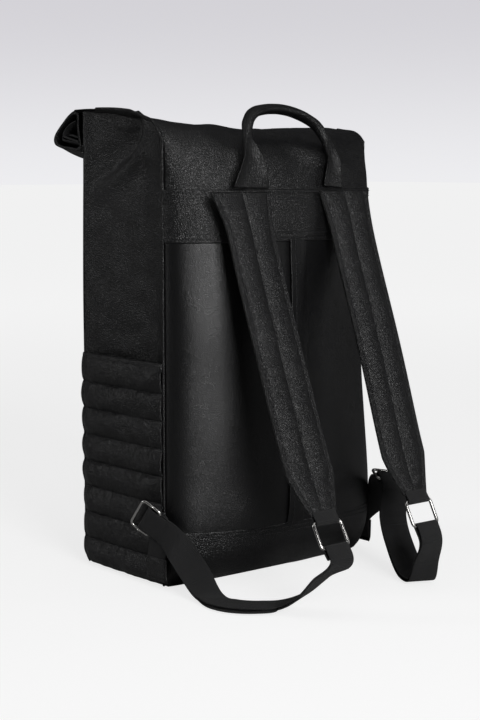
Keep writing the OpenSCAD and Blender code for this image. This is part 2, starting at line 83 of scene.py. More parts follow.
def makeCamera():
    camera = bpy.data.objects.new("camera", bpy.data.cameras.new("camera"))
    bpy.context.scene.collection.objects.link(camera)
    camera.location = view["place"]
    camera.rotation_euler = (math.radians(90 + view["pitch"]), 0, math.radians(-view["heading"]))
    camera.data.lens = view["lens"]
    camera.data.sensor_width = 36
    camera.data.clip_start = 0.05
    bpy.context.scene.camera = camera


lighting = {"horizon": (0.86, 0.86, 0.88), "high": (0.655, 0.645, 0.68), "ambient": (0.035, 0.035, 0.037),
            "glowNear": 0.765, "glowFar": 0.865, "key": 43, "fill": 3, "top": 7, "rim": 9}


def areaLight(name, place, aim, size, power):
    lamp = bpy.data.lights.new(name, "AREA")
    lamp.shape = "RECTANGLE"
    lamp.size, lamp.size_y = size
    lamp.energy = power
    item = bpy.data.objects.new(name, lamp)
    item.location = place
    item.rotation_euler = (Vector(aim) - Vector(place)).to_track_quat("-Z", "Y").to_euler()
    bpy.context.scene.collection.objects.link(item)


def makeStudio():
    bpy.context.scene.view_settings.view_transform = "Standard"
    world = bpy.data.worlds.new("studio")
    bpy.context.scene.world = world
    world.use_nodes = True
    tree = world.node_tree
    dim = tree.nodes["Background"]
    dim.inputs["Color"].default_value = (*lighting["ambient"], 1)
    # the backdrop fades upwards, and only the camera sees it at full strength
    seen = addNode(tree, "ShaderNodeBackground")
    way = addNode(tree, "ShaderNodeSeparateXYZ")
    join(tree, (addNode(tree, "ShaderNodeTexCoord").outputs["Generated"], way.inputs[0]))
    fade = spread(tree, way.outputs["Z"], -0.03, 0.11, 0.0, 1.0)
    choose = addNode(tree, "ShaderNodeMixShader")
    join(tree, (mixColor(tree, fade, lighting["horizon"], lighting["high"]), seen.inputs["Color"]),
         (addNode(tree, "ShaderNodeLightPath").outputs["Is Camera Ray"], choose.inputs[0]),
         (dim.outputs[0], choose.inputs[1]), (seen.outputs[0], choose.inputs[2]),
         (choose.outputs[0], tree.nodes["World Output"].inputs["Surface"]))
    areaLight("keyLight", (-0.75, -2.5, 0.95), (-0.05, 0, 0.27), (0.9, 1.5), lighting["key"])
    areaLight("fillLight", (2.1, -1.1, 0.9), (0.1, 0, 0.25), (0.7, 1.4), lighting["fill"])
    areaLight("topLight", (-0.1, -0.3, 2.3), (0, 0, 0.2), (2.2, 2.2), lighting["top"])
    areaLight("rimLight", (-1.9, 1.5, 1.2), (0, 0, 0.3), (0.8, 1.6), lighting["rim"])
    bpy.ops.mesh.primitive_plane_add(size=60, location=(0, 0, 0))
    floor = bpy.context.object
    floor.name = "floor"
    floor.data.materials.append(floorMaterial())


def shaderGroup(name, inputs, outputs):
    group = bpy.data.node_groups.new(name, "ShaderNodeTree")
    for label, kind, value in inputs:
        socket = group.interface.new_socket(label, in_out="INPUT", socket_type=kind)
        if value is not None:
            socket.default_value = value
    for label, kind in outputs:
        group.interface.new_socket(label, in_out="OUTPUT", socket_type=kind)
    return group, group.nodes.new("NodeGroupInput"), group.nodes.new("NodeGroupOutput")


def addNode(tree, kind, **settings):
    node = tree.nodes.new(kind)
    for key, value in settings.items():
        setattr(node, key, value)
    return node


def join(tree, *pairs):
    for source, target in pairs:
        tree.links.new(source, target)


def mathNode(tree, operation, a, b=None, c=None):
    node = addNode(tree, "ShaderNodeMath", operation=operation)
    for index, value in enumerate((a, b, c)):
        if value is None:
            continue
        if isinstance(value, (int, float)):
            node.inputs[index].default_value = value
        else:
            tree.links.new(value, node.inputs[index])
    return node.outputs[0]


def spread(tree, value, low, high, toLow, toHigh):
    node = addNode(tree, "ShaderNodeMapRange", interpolation_type="SMOOTHSTEP")
    for label, number in zip(("From Min", "From Max", "To Min", "To Max"), (low, high, toLow, toHigh)):
        if isinstance(number, (int, float)):
            node.inputs[label].default_value = number
        else:
            tree.links.new(number, node.inputs[label])
    tree.links.new(value, node.inputs["Value"])
    return node.outputs["Result"]


def grainGroup():
    # pebbled leather: rounded cells with creases between, over soft unevenness
    group, given, out = shaderGroup("leatherGrain",
        [("Vector", "NodeSocketVector", None), ("Cells per metre", "NodeSocketFloat", 900.0),
         ("Crease depth", "NodeSocketFloat", 1.0), ("Unevenness", "NodeSocketFloat", 0.5)],
        [("Height", "NodeSocketFloat"), ("Crease", "NodeSocketFloat"), ("Cloud", "NodeSocketFloat")])
    warp = addNode(group, "ShaderNodeTexNoise")
    warp.inputs["Scale"].default_value = 160
    warp.inputs["Detail"].default_value = 2
    shift = addNode(group, "ShaderNodeVectorMath", operation="MULTIPLY_ADD")
    shift.inputs[1].default_value = (0.0022, 0.0022, 0.0022)
    cells = addNode(group, "ShaderNodeTexVoronoi", feature="DISTANCE_TO_EDGE")
    fine = addNode(group, "ShaderNodeTexVoronoi", feature="F1")
    pores = addNode(group, "ShaderNodeTexNoise")
    pores.inputs["Detail"].default_value = 3
    cloud = addNode(group, "ShaderNodeTexNoise")
    cloud.inputs["Scale"].default_value = 26
    cloud.inputs["Detail"].default_value = 3
    fineScale = mathNode(group, "MULTIPLY", given.outputs["Cells per metre"], 1.9)
    poreScale = mathNode(group, "MULTIPLY", given.outputs["Cells per metre"], 3.2)
    join(group, (given.outputs["Vector"], warp.inputs["Vector"]), (warp.outputs["Color"], shift.inputs[0]),
         (given.outputs["Vector"], shift.inputs[2]), (shift.outputs[0], cells.inputs["Vector"]),
         (shift.outputs[0], fine.inputs["Vector"]), (given.outputs["Vector"], pores.inputs["Vector"]),
         (given.outputs["Vector"], cloud.inputs["Vector"]),
         (given.outputs["Cells per metre"], cells.inputs["Scale"]), (fineScale, fine.inputs["Scale"]),
         (poreScale, pores.inputs["Scale"]))
    dome = spread(group, cells.outputs["Distance"], 0.0, 0.32, 0.0, 1.0)
    lumps = mathNode(group, "MULTIPLY", fine.outputs["Distance"], -0.35)
    pored = mathNode(group, "MULTIPLY_ADD", pores.outputs["Fac"], 0.22, lumps)
    domed = mathNode(group, "MULTIPLY", dome, given.outputs["Crease depth"])
    soft = mathNode(group, "MULTIPLY", cloud.outputs["Fac"], given.outputs["Unevenness"])
    height = mathNode(group, "ADD", mathNode(group, "ADD", domed, pored), soft)
    crease = mathNode(group, "SUBTRACT", 1.0, dome)
    join(group, (height, out.inputs["Height"]), (crease, out.inputs["Crease"]),
         (cloud.outputs["Fac"], out.inputs["Cloud"]))
    return group


def wrinkleGroup():
    # fine stretched wrinkles and long soft scuffs
    group, given, out = shaderGroup("wrinkles",
        [("Vector", "NodeSocketVector", None), ("Size", "NodeSocketFloat", 60.0),
         ("Stretch", "NodeSocketVector", (1, 1, 0.3))],
        [("Height", "NodeSocketFloat"), ("Mask", "NodeSocketFloat")])
    squeeze = addNode(group, "ShaderNodeVectorMath", operation="MULTIPLY")
    noise = addNode(group, "ShaderNodeTexNoise", noise_type="RIDGED_MULTIFRACTAL")
    noise.inputs["Detail"].default_value = 3
    noise.inputs["Distortion"].default_value = 0.6
    patch = addNode(group, "ShaderNodeTexNoise")
    patch.inputs["Scale"].default_value = 12
    join(group, (given.outputs["Vector"], squeeze.inputs[0]), (given.outputs["Stretch"], squeeze.inputs[1]),
         (squeeze.outputs[0], noise.inputs["Vector"]), (given.outputs["Size"], noise.inputs["Scale"]),
         (given.outputs["Vector"], patch.inputs["Vector"]))
    mask = spread(group, patch.outputs["Fac"], 0.42, 0.62, 0.0, 1.0)
    join(group, (mathNode(group, "MULTIPLY", noise.outputs["Fac"], mask), out.inputs["Height"]),
         (mask, out.inputs["Mask"]))
    return group


def weaveGroup():
    # a narrow-fabric weave from a UV map whose units are metres along and across
    group, given, out = shaderGroup("weave",
        [("Vector", "NodeSocketVector", None), ("Threads per metre", "NodeSocketFloat", 900.0)],
        [("Height", "NodeSocketFloat"), ("Shade", "NodeSocketFloat")])
    split = addNode(group, "ShaderNodeSeparateXYZ")
    along = mathNode(group, "MULTIPLY", split.outputs["X"], given.outputs["Threads per metre"])
    across = mathNode(group, "MULTIPLY", split.outputs["Y"], given.outputs["Threads per metre"])
    turnAlong = mathNode(group, "MULTIPLY", along, math.pi)
    turnAcross = mathNode(group, "MULTIPLY", across, math.pi * 1.3)
    row = mathNode(group, "ABSOLUTE", mathNode(group, "SINE", turnAlong))
    offset = mathNode(group, "MULTIPLY", mathNode(group, "FLOOR", along), math.pi / 2)
    slant = mathNode(group, "ADD", turnAcross, offset)
    column = mathNode(group, "ABSOLUTE", mathNode(group, "SINE", slant))
    height = mathNode(group, "MULTIPLY", mathNode(group, "POWER", row, 0.6),
                      mathNode(group, "MULTIPLY_ADD", column, 0.7, 0.3))
    fuzz = addNode(group, "ShaderNodeTexNoise")
    fuzz.inputs["Scale"].default_value = 3000
    join(group, (given.outputs["Vector"], split.inputs[0]), (given.outputs["Vector"], fuzz.inputs["Vector"]))
    join(group, (mathNode(group, "MULTIPLY_ADD", fuzz.outputs["Fac"], 0.3, height), out.inputs["Height"]),
         (height, out.inputs["Shade"]))
    return group


leatherGrain = grainGroup()
wrinkles = wrinkleGroup()
weave = weaveGroup()


def placeGroup(tree, group, vector, **values):
    node = addNode(tree, "ShaderNodeGroup", node_tree=group)
    tree.links.new(vector, node.inputs["Vector"])
    for label, value in values.items():
        node.inputs[label.replace("_", " ")].default_value = value
    return node


def bumpNode(tree, height, strength, distance):
    bump = addNode(tree, "ShaderNodeBump")
    bump.inputs["Strength"].default_value = strength
    bump.inputs["Distance"].default_value = distance
    tree.links.new(height, bump.inputs["Height"])
    return bump


def newMaterial(name):
    material = bpy.data.materials.new(name)
    material.use_nodes = True
    tree = material.node_tree
    return material, tree, tree.nodes["Principled BSDF"]


def mixColor(tree, factor, first, second):
    node = addNode(tree, "ShaderNodeMix", data_type="RGBA")
    node.inputs[6].default_value = (*first, 1)
    node.inputs[7].default_value = (*second, 1)
    tree.links.new(factor, node.inputs[0])
    return node.outputs[2]


def leatherMaterial(name, look):
    material, tree, shader = newMaterial(name)
    where = addNode(tree, "ShaderNodeTexCoord").outputs["Object"]
    grain = placeGroup(tree, leatherGrain, where, Cells_per_metre=look["cells"], Crease_depth=look["crease"],
                       Unevenness=look["uneven"])
    folds = placeGroup(tree, wrinkles, where, Size=look["wrinkleSize"], Stretch=look["stretch"])
    tone = mathNode(tree, "MULTIPLY_ADD", grain.outputs["Cloud"], 0.6,
                    mathNode(tree, "MULTIPLY", grain.outputs["Crease"], -0.5))
    color = mixColor(tree, spread(tree, tone, 0.0, 0.45, 0.0, 1.0), look["dark"], look["light"])
    rough = mathNode(tree, "MULTIPLY_ADD", grain.outputs["Crease"], look["creaseRough"],
                     mathNode(tree, "MULTIPLY_ADD", grain.outputs["Cloud"], -0.12, look["rough"] + 0.06))
    pebbles = bumpNode(tree, grain.outputs["Height"], look["bump"], look["depth"])
    bends = bumpNode(tree, folds.outputs["Height"], look["wrinkle"], 0.0012)
    join(tree, (color, shader.inputs["Base Color"]), (rough, shader.inputs["Roughness"]),
         (bends.outputs["Normal"], pebbles.inputs["Normal"]), (pebbles.outputs["Normal"], shader.inputs["Normal"]))
    shader.inputs["Specular IOR Level"].default_value = look["shine"]
    return material


leatherLooks = {
    "grainLeather": {"cells": 540, "crease": 1.0, "uneven": 0.5, "wrinkleSize": 60, "stretch": (1, 1, 0.5),
                     "dark": (0.0018, 0.0018, 0.002), "light": (0.006, 0.006, 0.0066),
                     "rough": 0.30, "creaseRough": 0.14, "bump": 0.45, "depth": 0.0007, "wrinkle": 0.05, "shine": 0.55},
    "smoothLeather": {"cells": 760, "crease": 0.7, "uneven": 0.6, "wrinkleSize": 34, "stretch": (0.5, 1, 1.6),
                      "dark": (0.002, 0.002, 0.0023), "light": (0.006, 0.006, 0.0066),
                      "rough": 0.29, "creaseRough": 0.10, "bump": 0.3, "depth": 0.0005, "wrinkle": 0.12, "shine": 0.55},
    "strapLeather": {"cells": 600, "crease": 1.0, "uneven": 0.5, "wrinkleSize": 120, "stretch": (0.35, 1, 1),
                     "dark": (0.002, 0.002, 0.0023), "light": (0.007, 0.007, 0.0078),
                     "rough": 0.31, "creaseRough": 0.14, "bump": 0.5, "depth": 0.0007, "wrinkle": 0.2, "shine": 0.55},
}


def webbingMaterial():
    material, tree, shader = newMaterial("webbingWeave")
    where = addNode(tree, "ShaderNodeUVMap").outputs["UV"]
    cloth = placeGroup(tree, weave, where, Threads_per_metre=780.0)
    color = mixColor(tree, cloth.outputs["Shade"], (0.0018, 0.0018, 0.002), (0.0070, 0.0070, 0.0078))
    bump = bumpNode(tree, cloth.outputs["Height"], 0.8, 0.0005)
    join(tree, (color, shader.inputs["Base Color"]),
         (bump.outputs["Normal"], shader.inputs["Normal"]),
         (spread(tree, cloth.outputs["Shade"], 0.0, 1.0, 0.82, 0.6), shader.inputs["Roughness"]))
    shader.inputs["Sheen Weight"].default_value = 0.06
    return material


def threadMaterial():
    material, tree, shader = newMaterial("thread")
    where = addNode(tree, "ShaderNodeTexCoord").outputs["Object"]
    twistAndHighlight = addNode(tree, "ShaderNodeTexWave", wave_type="BANDS", bands_direction="DIAGONAL")
    twistAndHighlight.inputs["Scale"].default_value = 700
    # the thread's own colour is dark grey; the lighter crest of each twist is partly that grey and partly a painted
    # highlight where the thread catches the light
    color = mixColor(tree, twistAndHighlight.outputs["Fac"], (0.008, 0.008, 0.0085), (0.040, 0.040, 0.043))
    bump = bumpNode(tree, twistAndHighlight.outputs["Fac"], 0.5, 0.0002)
    join(tree, (where, twistAndHighlight.inputs["Vector"]), (color, shader.inputs["Base Color"]),
         (bump.outputs["Normal"], shader.inputs["Normal"]),
         (spread(tree, twistAndHighlight.outputs["Fac"], 0.0, 1.0, 0.6, 0.42), shader.inputs["Roughness"]))
    return material


def clothMaterial(name, dark, light, scale):
    material, tree, shader = newMaterial(name)
    where = addNode(tree, "ShaderNodeTexCoord").outputs["Object"]
    across = addNode(tree, "ShaderNodeTexWave", wave_type="BANDS", bands_direction="X")
    down = addNode(tree, "ShaderNodeTexWave", wave_type="BANDS", bands_direction="Z")
    for wave in (across, down):
        wave.inputs["Scale"].default_value = scale
        wave.inputs["Distortion"].default_value = 0.4
        tree.links.new(where, wave.inputs["Vector"])
    woven = mathNode(tree, "MULTIPLY", across.outputs["Fac"], down.outputs["Fac"])
    bump = bumpNode(tree, woven, 0.5, 0.0003)
    join(tree, (mixColor(tree, woven, dark, light), shader.inputs["Base Color"]),
         (bump.outputs["Normal"], shader.inputs["Normal"]),
         (spread(tree, woven, 0.0, 1.0, 0.9, 0.72), shader.inputs["Roughness"]))
    return material


def metalMaterial(name, color, rough):
    material, tree, shader = newMaterial(name)
    where = addNode(tree, "ShaderNodeTexCoord").outputs["Object"]
    haze = addNode(tree, "ShaderNodeTexNoise")
    haze.inputs["Scale"].default_value = 240
    haze.inputs["Detail"].default_value = 4
    scratch = addNode(tree, "ShaderNodeTexNoise")
    scratch.inputs["Scale"].default_value = 1800
    bump = bumpNode(tree, scratch.outputs["Fac"], 0.08, 0.0002)
    join(tree, (where, haze.inputs["Vector"]), (where, scratch.inputs["Vector"]),
         (bump.outputs["Normal"], shader.inputs["Normal"]),
         (spread(tree, haze.outputs["Fac"], 0.3, 0.7, rough * 0.7, rough * 1.5), shader.inputs["Roughness"]),
         (mixColor(tree, haze.outputs["Fac"], [c * 0.86 for c in color], color), shader.inputs["Base Color"]))
    shader.inputs["Metallic"].default_value = 1.0
    return material


def edgeMaterial():
    # painted cut edge of leather
    material, tree, shader = newMaterial("paintedEdge")
    where = addNode(tree, "ShaderNodeTexCoord").outputs["Object"]
    noise = addNode(tree, "ShaderNodeTexNoise")
    noise.inputs["Scale"].default_value = 900
    bump = bumpNode(tree, noise.outputs["Fac"], 0.3, 0.0003)
    color = mixColor(tree, noise.outputs["Fac"], (0.004, 0.004, 0.0045), (0.012, 0.012, 0.013))
    join(tree, (where, noise.inputs["Vector"]), (bump.outputs["Normal"], shader.inputs["Normal"]),
         (color, shader.inputs["Base Color"]),
         (spread(tree, noise.outputs["Fac"], 0.3, 0.7, 0.5, 0.38), shader.inputs["Roughness"]))
    return material


def floorMaterial():
    material, tree, shader = newMaterial("studioFloor")
    where = addNode(tree, "ShaderNodeTexCoord").outputs["Object"]
    noise = addNode(tree, "ShaderNodeTexNoise")
    noise.inputs["Scale"].default_value = 4
    away = addNode(tree, "ShaderNodeVectorMath", operation="LENGTH")
    join(tree, (where, away.inputs[0]))
    glow = mathNode(tree, "MULTIPLY", addNode(tree, "ShaderNodeLightPath").outputs["Is Camera Ray"],
                    spread(tree, away.outputs["Value"], 0.3, 3.5, lighting["glowNear"], lighting["glowFar"]))
    join(tree, (where, noise.inputs["Vector"]), (glow, shader.inputs["Emission Strength"]),
         (mixColor(tree, noise.outputs["Fac"], (0.35, 0.35, 0.35), (0.37, 0.37, 0.37)), shader.inputs["Base Color"]))
    shader.inputs["Emission Color"].default_value = (1, 1, 1, 1)
    shader.inputs["Roughness"].default_value = 0.9
    shader.inputs["Specular IOR Level"].default_value = 0.1
    return material


finish = {name: leatherMaterial(name, look) for name, look in leatherLooks.items()}
finish["webbing"] = webbingMaterial()
finish["thread"] = threadMaterial()
finish["lining"] = clothMaterial("liningCloth", (0.01, 0.01, 0.011), (0.03, 0.03, 0.033), 500)
finish["foam"] = clothMaterial("foamCloth", (0.02, 0.02, 0.02), (0.04, 0.04, 0.042), 300)
finish["tape"] = clothMaterial("zipTape", (0.005, 0.005, 0.006), (0.02, 0.02, 0.022), 600)
finish["nickel"] = metalMaterial("nickel", (0.80, 0.785, 0.76), 0.16)
finish["edge"] = edgeMaterial()
makeCamera()
makeStudio()
print("camera, light and materials made")


def through(keys, x):
    # smooth curve through (x, y) pairs
    xs, ys = np.array(keys, float).T
    x = np.clip(np.asarray(x, float), xs[0], xs[-1])
    slopes = np.gradient(ys, xs)
    i = np.clip(np.searchsorted(xs, x, side="right") - 1, 0, len(xs) - 2)
    step = xs[i + 1] - xs[i]
    t = (x - xs[i]) / step
    return (ys[i] * (1 + 2 * t) * (1 - t) ** 2 + slopes[i] * step * t * (1 - t) ** 2
            + ys[i + 1] * t * t * (3 - 2 * t) + slopes[i + 1] * step * t * t * (t - 1))


def pathThrough(points, count):
    # evenly spaced points on a smooth curve through given ones
    points = np.array(points, float)
    run = runOf(points[:, :3])
    fine = np.linspace(0, run[-1], count * 6)
    dense = np.stack([through(list(zip(run, points[:, k])), fine) for k in range(points.shape[1])], 1)
    length = runOf(dense[:, :3])
    even = np.linspace(0, length[-1], count)
    return np.stack([np.interp(even, length, dense[:, k]) for k in range(points.shape[1])], 1)


def runOf(path):
    # distance along a line of points
    return np.concatenate([[0], np.cumsum(np.linalg.norm(np.diff(path, axis=0), axis=1))])


def unit(v):
    return v / np.maximum(np.linalg.norm(v, axis=-1, keepdims=True), 1e-9)


def softField(points, size, seed, stretch=(1, 1, 1)):
    # smooth unevenness of about one unit, made of seeded waves
    waves = np.random.default_rng(seed)
    total = 0
    for _ in range(16):
        way = unit(waves.normal(size=3)) / (size * waves.uniform(0.7, 1.7)) * np.array(stretch)
        total = total + np.sin(points @ way * 2 * math.pi + waves.uniform(0, 2 * math.pi))
    return total / 2.8


def bell(distance, width):
    return np.exp(-((distance / width) ** 2))


def stepsAlong(length, count, edge=0.002, seams=()):
    # places from 0 to 1 along a side, closer together at its edges and at its seams
    places = [np.linspace(0, length, count)]
    rim = edge * np.array([0, 0.12, 0.35, 0.65, 1.0])
    places += [rim, length - rim]
    for seam in seams:
        at = seam if seam >= 0 else length + seam
        places.append(at + np.array([-0.003, -0.0018, -0.0009, 0, 0.0009, 0.0018, 0.003]))
    places = np.unique(np.round(np.clip(np.concatenate(places), 0, length), 5))
    keep = np.concatenate([[True], np.diff(places) > 0.00012])
    return places[keep] / places[keep][-1]


def normalsOf(grid):
    down, across = np.gradient(grid, axis=0), np.gradient(grid, axis=1)
    return unit(np.cross(across, down))


def addMesh(name, verts, faces, materials, faceMaterial=None, uv=None):
    mesh = bpy.data.meshes.new(name)
    mesh.from_pydata(np.asarray(verts).tolist(), [], [tuple(f) for f in faces])
    for material in materials:
        mesh.materials.append(material)
    if uv is not None:
        layer = mesh.uv_layers.new(name="UVMap")
        corner = np.zeros(len(mesh.loops), int)
        mesh.loops.foreach_get("vertex_index", corner)
        layer.data.foreach_set("uv", np.asarray(uv)[corner].astype(np.float32).ravel())
    if faceMaterial is not None:
        mesh.polygons.foreach_set("material_index", np.asarray(faceMaterial, int))
    mesh.polygons.foreach_set("use_smooth", np.ones(len(mesh.polygons), bool))
    work = bmesh.new()
    work.from_mesh(mesh)
    bmesh.ops.remove_doubles(work, verts=work.verts, dist=0.00001)
    bmesh.ops.recalc_face_normals(work, faces=work.faces)
    work.to_mesh(mesh)
    work.free()
    item = bpy.data.objects.new(name, mesh)
    bpy.context.scene.collection.objects.link(item)
    return item


def gridFaces(rows, cols, offset=0, wrap=False, flip=False):
    i, j = np.meshgrid(np.arange(rows - 1), np.arange(cols if wrap else cols - 1), indexing="ij")
    k = (j + 1) % cols
    quads = np.stack([i * cols + j, (i + 1) * cols + j, (i + 1) * cols + k, i * cols + k], -1).reshape(-1, 4)
    return (quads[:, ::-1] if flip else quads) + offset


def rimQuads(rows, cols):
    # faces that join the outlines of two grids of the same size
    ring = np.concatenate([np.arange(cols), np.arange(1, rows) * cols + cols - 1,
                           (rows - 1) * cols + np.arange(cols - 2, -1, -1), np.arange(rows - 2, 0, -1) * cols])
    following = np.roll(ring, -1)
    size = rows * cols
    return np.stack([ring, following, following + size, ring + size], -1)


def sheetPiece(name, grid, thick, material, inside, edge=None, rim=None):
    # a closed sheet of leather with rounded edges; inside is a point behind it
    rows, cols, _ = grid.shape
    out = normalsOf(grid)
    middle = grid.reshape(-1, 3).mean(0)
    if np.sum(out.reshape(-1, 3).mean(0) * (middle - np.array(inside))) < 0:
        out = -out
    edge = thick * 0.7 if edge is None else edge
    downRun = np.concatenate([np.zeros((1, cols)), np.cumsum(np.linalg.norm(np.diff(grid, axis=0), axis=2), 0)])
    acrossRun = np.concatenate([np.zeros((rows, 1)),
                                np.cumsum(np.linalg.norm(np.diff(grid, axis=1), axis=2), 1)], 1)
    nearest = np.minimum(np.minimum(downRun, downRun[-1:] - downRun),
                         np.minimum(acrossRun, acrossRun[:, -1:] - acrossRun))
    part = np.clip(1 - nearest / edge, 0, 1)
    drop = edge * (1 - np.sqrt(np.maximum(0, 1 - part ** 2)))
    front = grid - out * drop[..., None]
    back = grid - out * thick
    rimFaces = rimQuads(rows, cols)
    faces = np.concatenate([gridFaces(rows, cols), gridFaces(rows, cols, rows * cols, flip=True), rimFaces])
    index = np.zeros(len(faces), int)
    materials = [material]
    if rim is not None:
        materials.append(rim)
        index[-len(rimFaces):] = 1
    return addMesh(name, np.concatenate([front.reshape(-1, 3), back.reshape(-1, 3)]), faces, materials, index)


def loftPiece(name, rings, material, capped=True, uv=None):
    # a skin round rows of closed sections
    rows, cols, _ = rings.shape
    faces = [tuple(f) for f in gridFaces(rows, cols, wrap=True)]
    verts = rings.reshape(-1, 3)
    if capped:
        verts = np.concatenate([verts, rings[0].mean(0)[None], rings[-1].mean(0)[None]])
        count = rows * cols
        for j in range(cols):
            faces.append((j, (j + 1) % cols, count))
            faces.append((count - cols + (j + 1) % cols, count - cols + j, count + 1))
        uv = None if uv is None else np.concatenate([uv, uv[:1], uv[-1:]])
    return addMesh(name, verts, faces, [material], uv=uv)


def roundRings(path, across, up, radius, sides):
    # round sections square to a line of points
    turn = np.linspace(0, 2 * math.pi, sides, endpoint=False)
    radius = np.broadcast_to(radius, len(path))[:, None, None]
    ways = np.cos(turn)[None, :, None] * across[:, None] + np.sin(turn)[None, :, None] * up[:, None]
    return path[:, None] + radius * ways


def tubePiece(name, path, radius, material, sides=12):
    path = np.asarray(path, float)
    along = unit(np.gradient(path, axis=0))
    side = unit(np.cross(along, np.array([0.31, 0.17, 0.93])))
    return loftPiece(name, roundRings(path, side, np.cross(side, along), radius, sides), material)


def loopTube(name, path, radius, material, sides=14):
    # a closed ring of wire
    path = np.asarray(path, float)
    along = unit(np.roll(path, -1, 0) - np.roll(path, 1, 0))
    flat = unit(np.cross(path[1] - path[0], path[len(path) // 3] - path[0]))
    side = unit(np.cross(along, flat[None]))
    rings = roundRings(path, side, np.tile(flat, (len(path), 1)), radius, sides)
    rings = np.concatenate([rings, rings[:1]])
    return loftPiece(name, rings, material, capped=False)


stitchRuns = {}


def stitchAlong(body, points):
    # remember a row of stitches by its points on the surface
    stitchRuns.setdefault(body, []).append(np.asarray(points, float))


def rideOn(piece, body, slot, *nodes):
    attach(piece, body)
    if nodes:
        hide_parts(*nodes)
    return piece


backKeys = [(0, 0.006), (0.010, 0.021), (0.030, 0.041), (baseTop, backOut - 0.004), (baseTop + 0.055, backOut),
            (baseTop + 0.075, backOut), (bandLow - 0.02, backOut), (bandHigh, backOut - 0.006), (0.440, 0.038),
            (ridgeZ - 0.011, 0.022)]
frontKeys = [(0, 0.004), (0.012, 0.010), (baseTop, frontOut - 0.008), (0.207, frontOut), (0.364, frontOut - 0.008),
             (ridgeZ - 0.037, 0.006)]


def packed(points):
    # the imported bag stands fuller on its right, low down and at the roll, and its foot is rounded
    right = np.clip(points[..., 0] / halfW, 0, 1.15) ** 3
    out = through([(0, 0.007), (0.09, 0.008), (0.17, 0.003), (0.30, 0.001), (0.38, 0.004), (0.44, 0.011),
                   (0.50, 0.013)], points[..., 2])
    points[..., 0] += right * out
    points[..., :2] *= 1 - 0.035 * np.clip(1 - points[..., 2:] / 0.016, 0, 1) ** 2
    return points


def fullness(a, z):
    # how square the back's bulge is: rounder on the left and at mid height
    power = through([(0, 0.62), (0.08, 0.62), (0.15, 0.75), (0.23, 0.95), (0.33, 0.95), (0.40, 0.70),
                     (0.5, 0.70)], z)
    return np.sin(a) ** np.where(a < math.pi / 2, power, 1)


def backPoint(a, z, lift=0.0):
    # a runs from 0 at the right corner seam to pi at the left one
    bulge = through(backKeys, z)
    return packed(np.stack([(halfW + lift) * np.cos(a), -halfD - (bulge + lift) * fullness(a, z), z + 0 * a], -1))


def backGrid(low, high, rowSteps, columnSteps, lift=0.0):
    z, a = np.meshgrid(low + (high - low) * rowSteps, math.pi * columnSteps, indexing="ij")
    return backPoint(a, z, lift)


def backPath(z, a0, a1, lift, count=160):
    return backPoint(np.linspace(a0, a1, count), np.full(count, z), lift)


zipLook = {"left": -0.0105, "right": 0.0120, "lip": 0.0013, "thick": 0.0011, "seam": 0.0062, "gap": 0.005}
backLook = {"thick": 0.0026, "softness": 0.0011, "bandLift": 0.0012, "stitchIn": 0.0035, "stitchGap": 0.0055}


def makeBack():
    look = backLook
    thick = look["thick"]
    # two halves with the zip's slot between them
    rows = stepsAlong(bandLow - baseTop, 110, seams=(0.004,))
    slot = math.acos(zipLook["gap"] / halfW) / math.pi
    for name, first, last in (("Right", 0, slot), ("Left", 1 - slot, 1)):
        half = first + (last - first) * stepsAlong(0.16, 66)
        grid = backGrid(baseTop, bandLow + 0.004, rows, half)
        depth = np.sin(math.pi * half)[None, :] ** 0.7
        sag = softField(grid, 0.16, 11, (1, 1, 0.45)) * look["softness"]
        sag = sag + softField(grid, 0.05, 12, (1, 1, 0.5)) * 0.00035
        # lies flat, a little lower, where the zip's puller swings
        nearZip = bell(grid[..., 0], 0.034)
        grid[..., 1] += 0.0008 * nearZip - sag * depth * (1 - nearZip) ** 2
        panel = sheetPiece("backPanel" + name, grid, thick, finish["smoothLeather"], (0, 0, 0.2))
        rideOn(panel, "bag", "smooth_leather", "back_panel_" + name.lower())
    columns = stepsAlong(0.33, 120)

    rows = stepsAlong(bandHigh - bandLow + 0.004, 26, seams=(look["stitchIn"], look["stitchIn"] + look["stitchGap"],
                      -look["stitchIn"], -look["stitchIn"] - look["stitchGap"]))
    low, high = bandLow - 0.002, bandHigh + 0.002
    grid = backGrid(low, high, rows, columns, look["bandLift"])
    heights = (grid[..., 2] - low)
    dent = sum(bell(heights - s, 0.0011) + bell(high - low - heights - s, 0.0011)
               for s in (look["stitchIn"], look["stitchIn"] + look["stitchGap"]))
    puff = np.sin(math.pi * np.clip(heights / (high - low), 0, 1)) ** 0.5 * 0.0006
    flat = softField(grid, 0.05, 13, (1, 1, 0.4)) * 0.0004
    grid[..., 1] -= (puff - dent * 0.00035 + flat) * np.sin(math.pi * columns)[None, :] ** 0.5
    band = sheetPiece("backBand", grid, thick, finish["grainLeather"], (0, 0, 0.38), rim=finish["edge"])
    rideOn(band, "bag", "grain_leather", "back_band")
    for z in (low + look["stitchIn"], low + look["stitchIn"] + look["stitchGap"], high - look["stitchIn"],
              high - look["stitchIn"] - look["stitchGap"]):
        stitchAlong("bag", backPath(z, 0.05, math.pi - 0.05, look["bandLift"] + 0.0006))

    rows = stepsAlong(baseTop, 40, seams=(-0.004,))
    grid = backGrid(0.0006, baseTop + 0.003, rows, columns, 0.0008)
    grid[..., 1] -= softField(grid, 0.06, 14, (1, 1, 0.6)) * 0.0006 * np.sin(math.pi * columns)[None, :]
    low = sheetPiece("backBase", grid, thick, finish["grainLeather"], (0, 0, 0.03), rim=finish["edge"])
    rideOn(low, "bag", "grain_leather", "back_base_panel")
    for z in (baseTop - 0.0015, baseTop - 0.0065):
        stitchAlong("bag", backPath(z, 0.05, math.pi - 0.05, 0.0011))


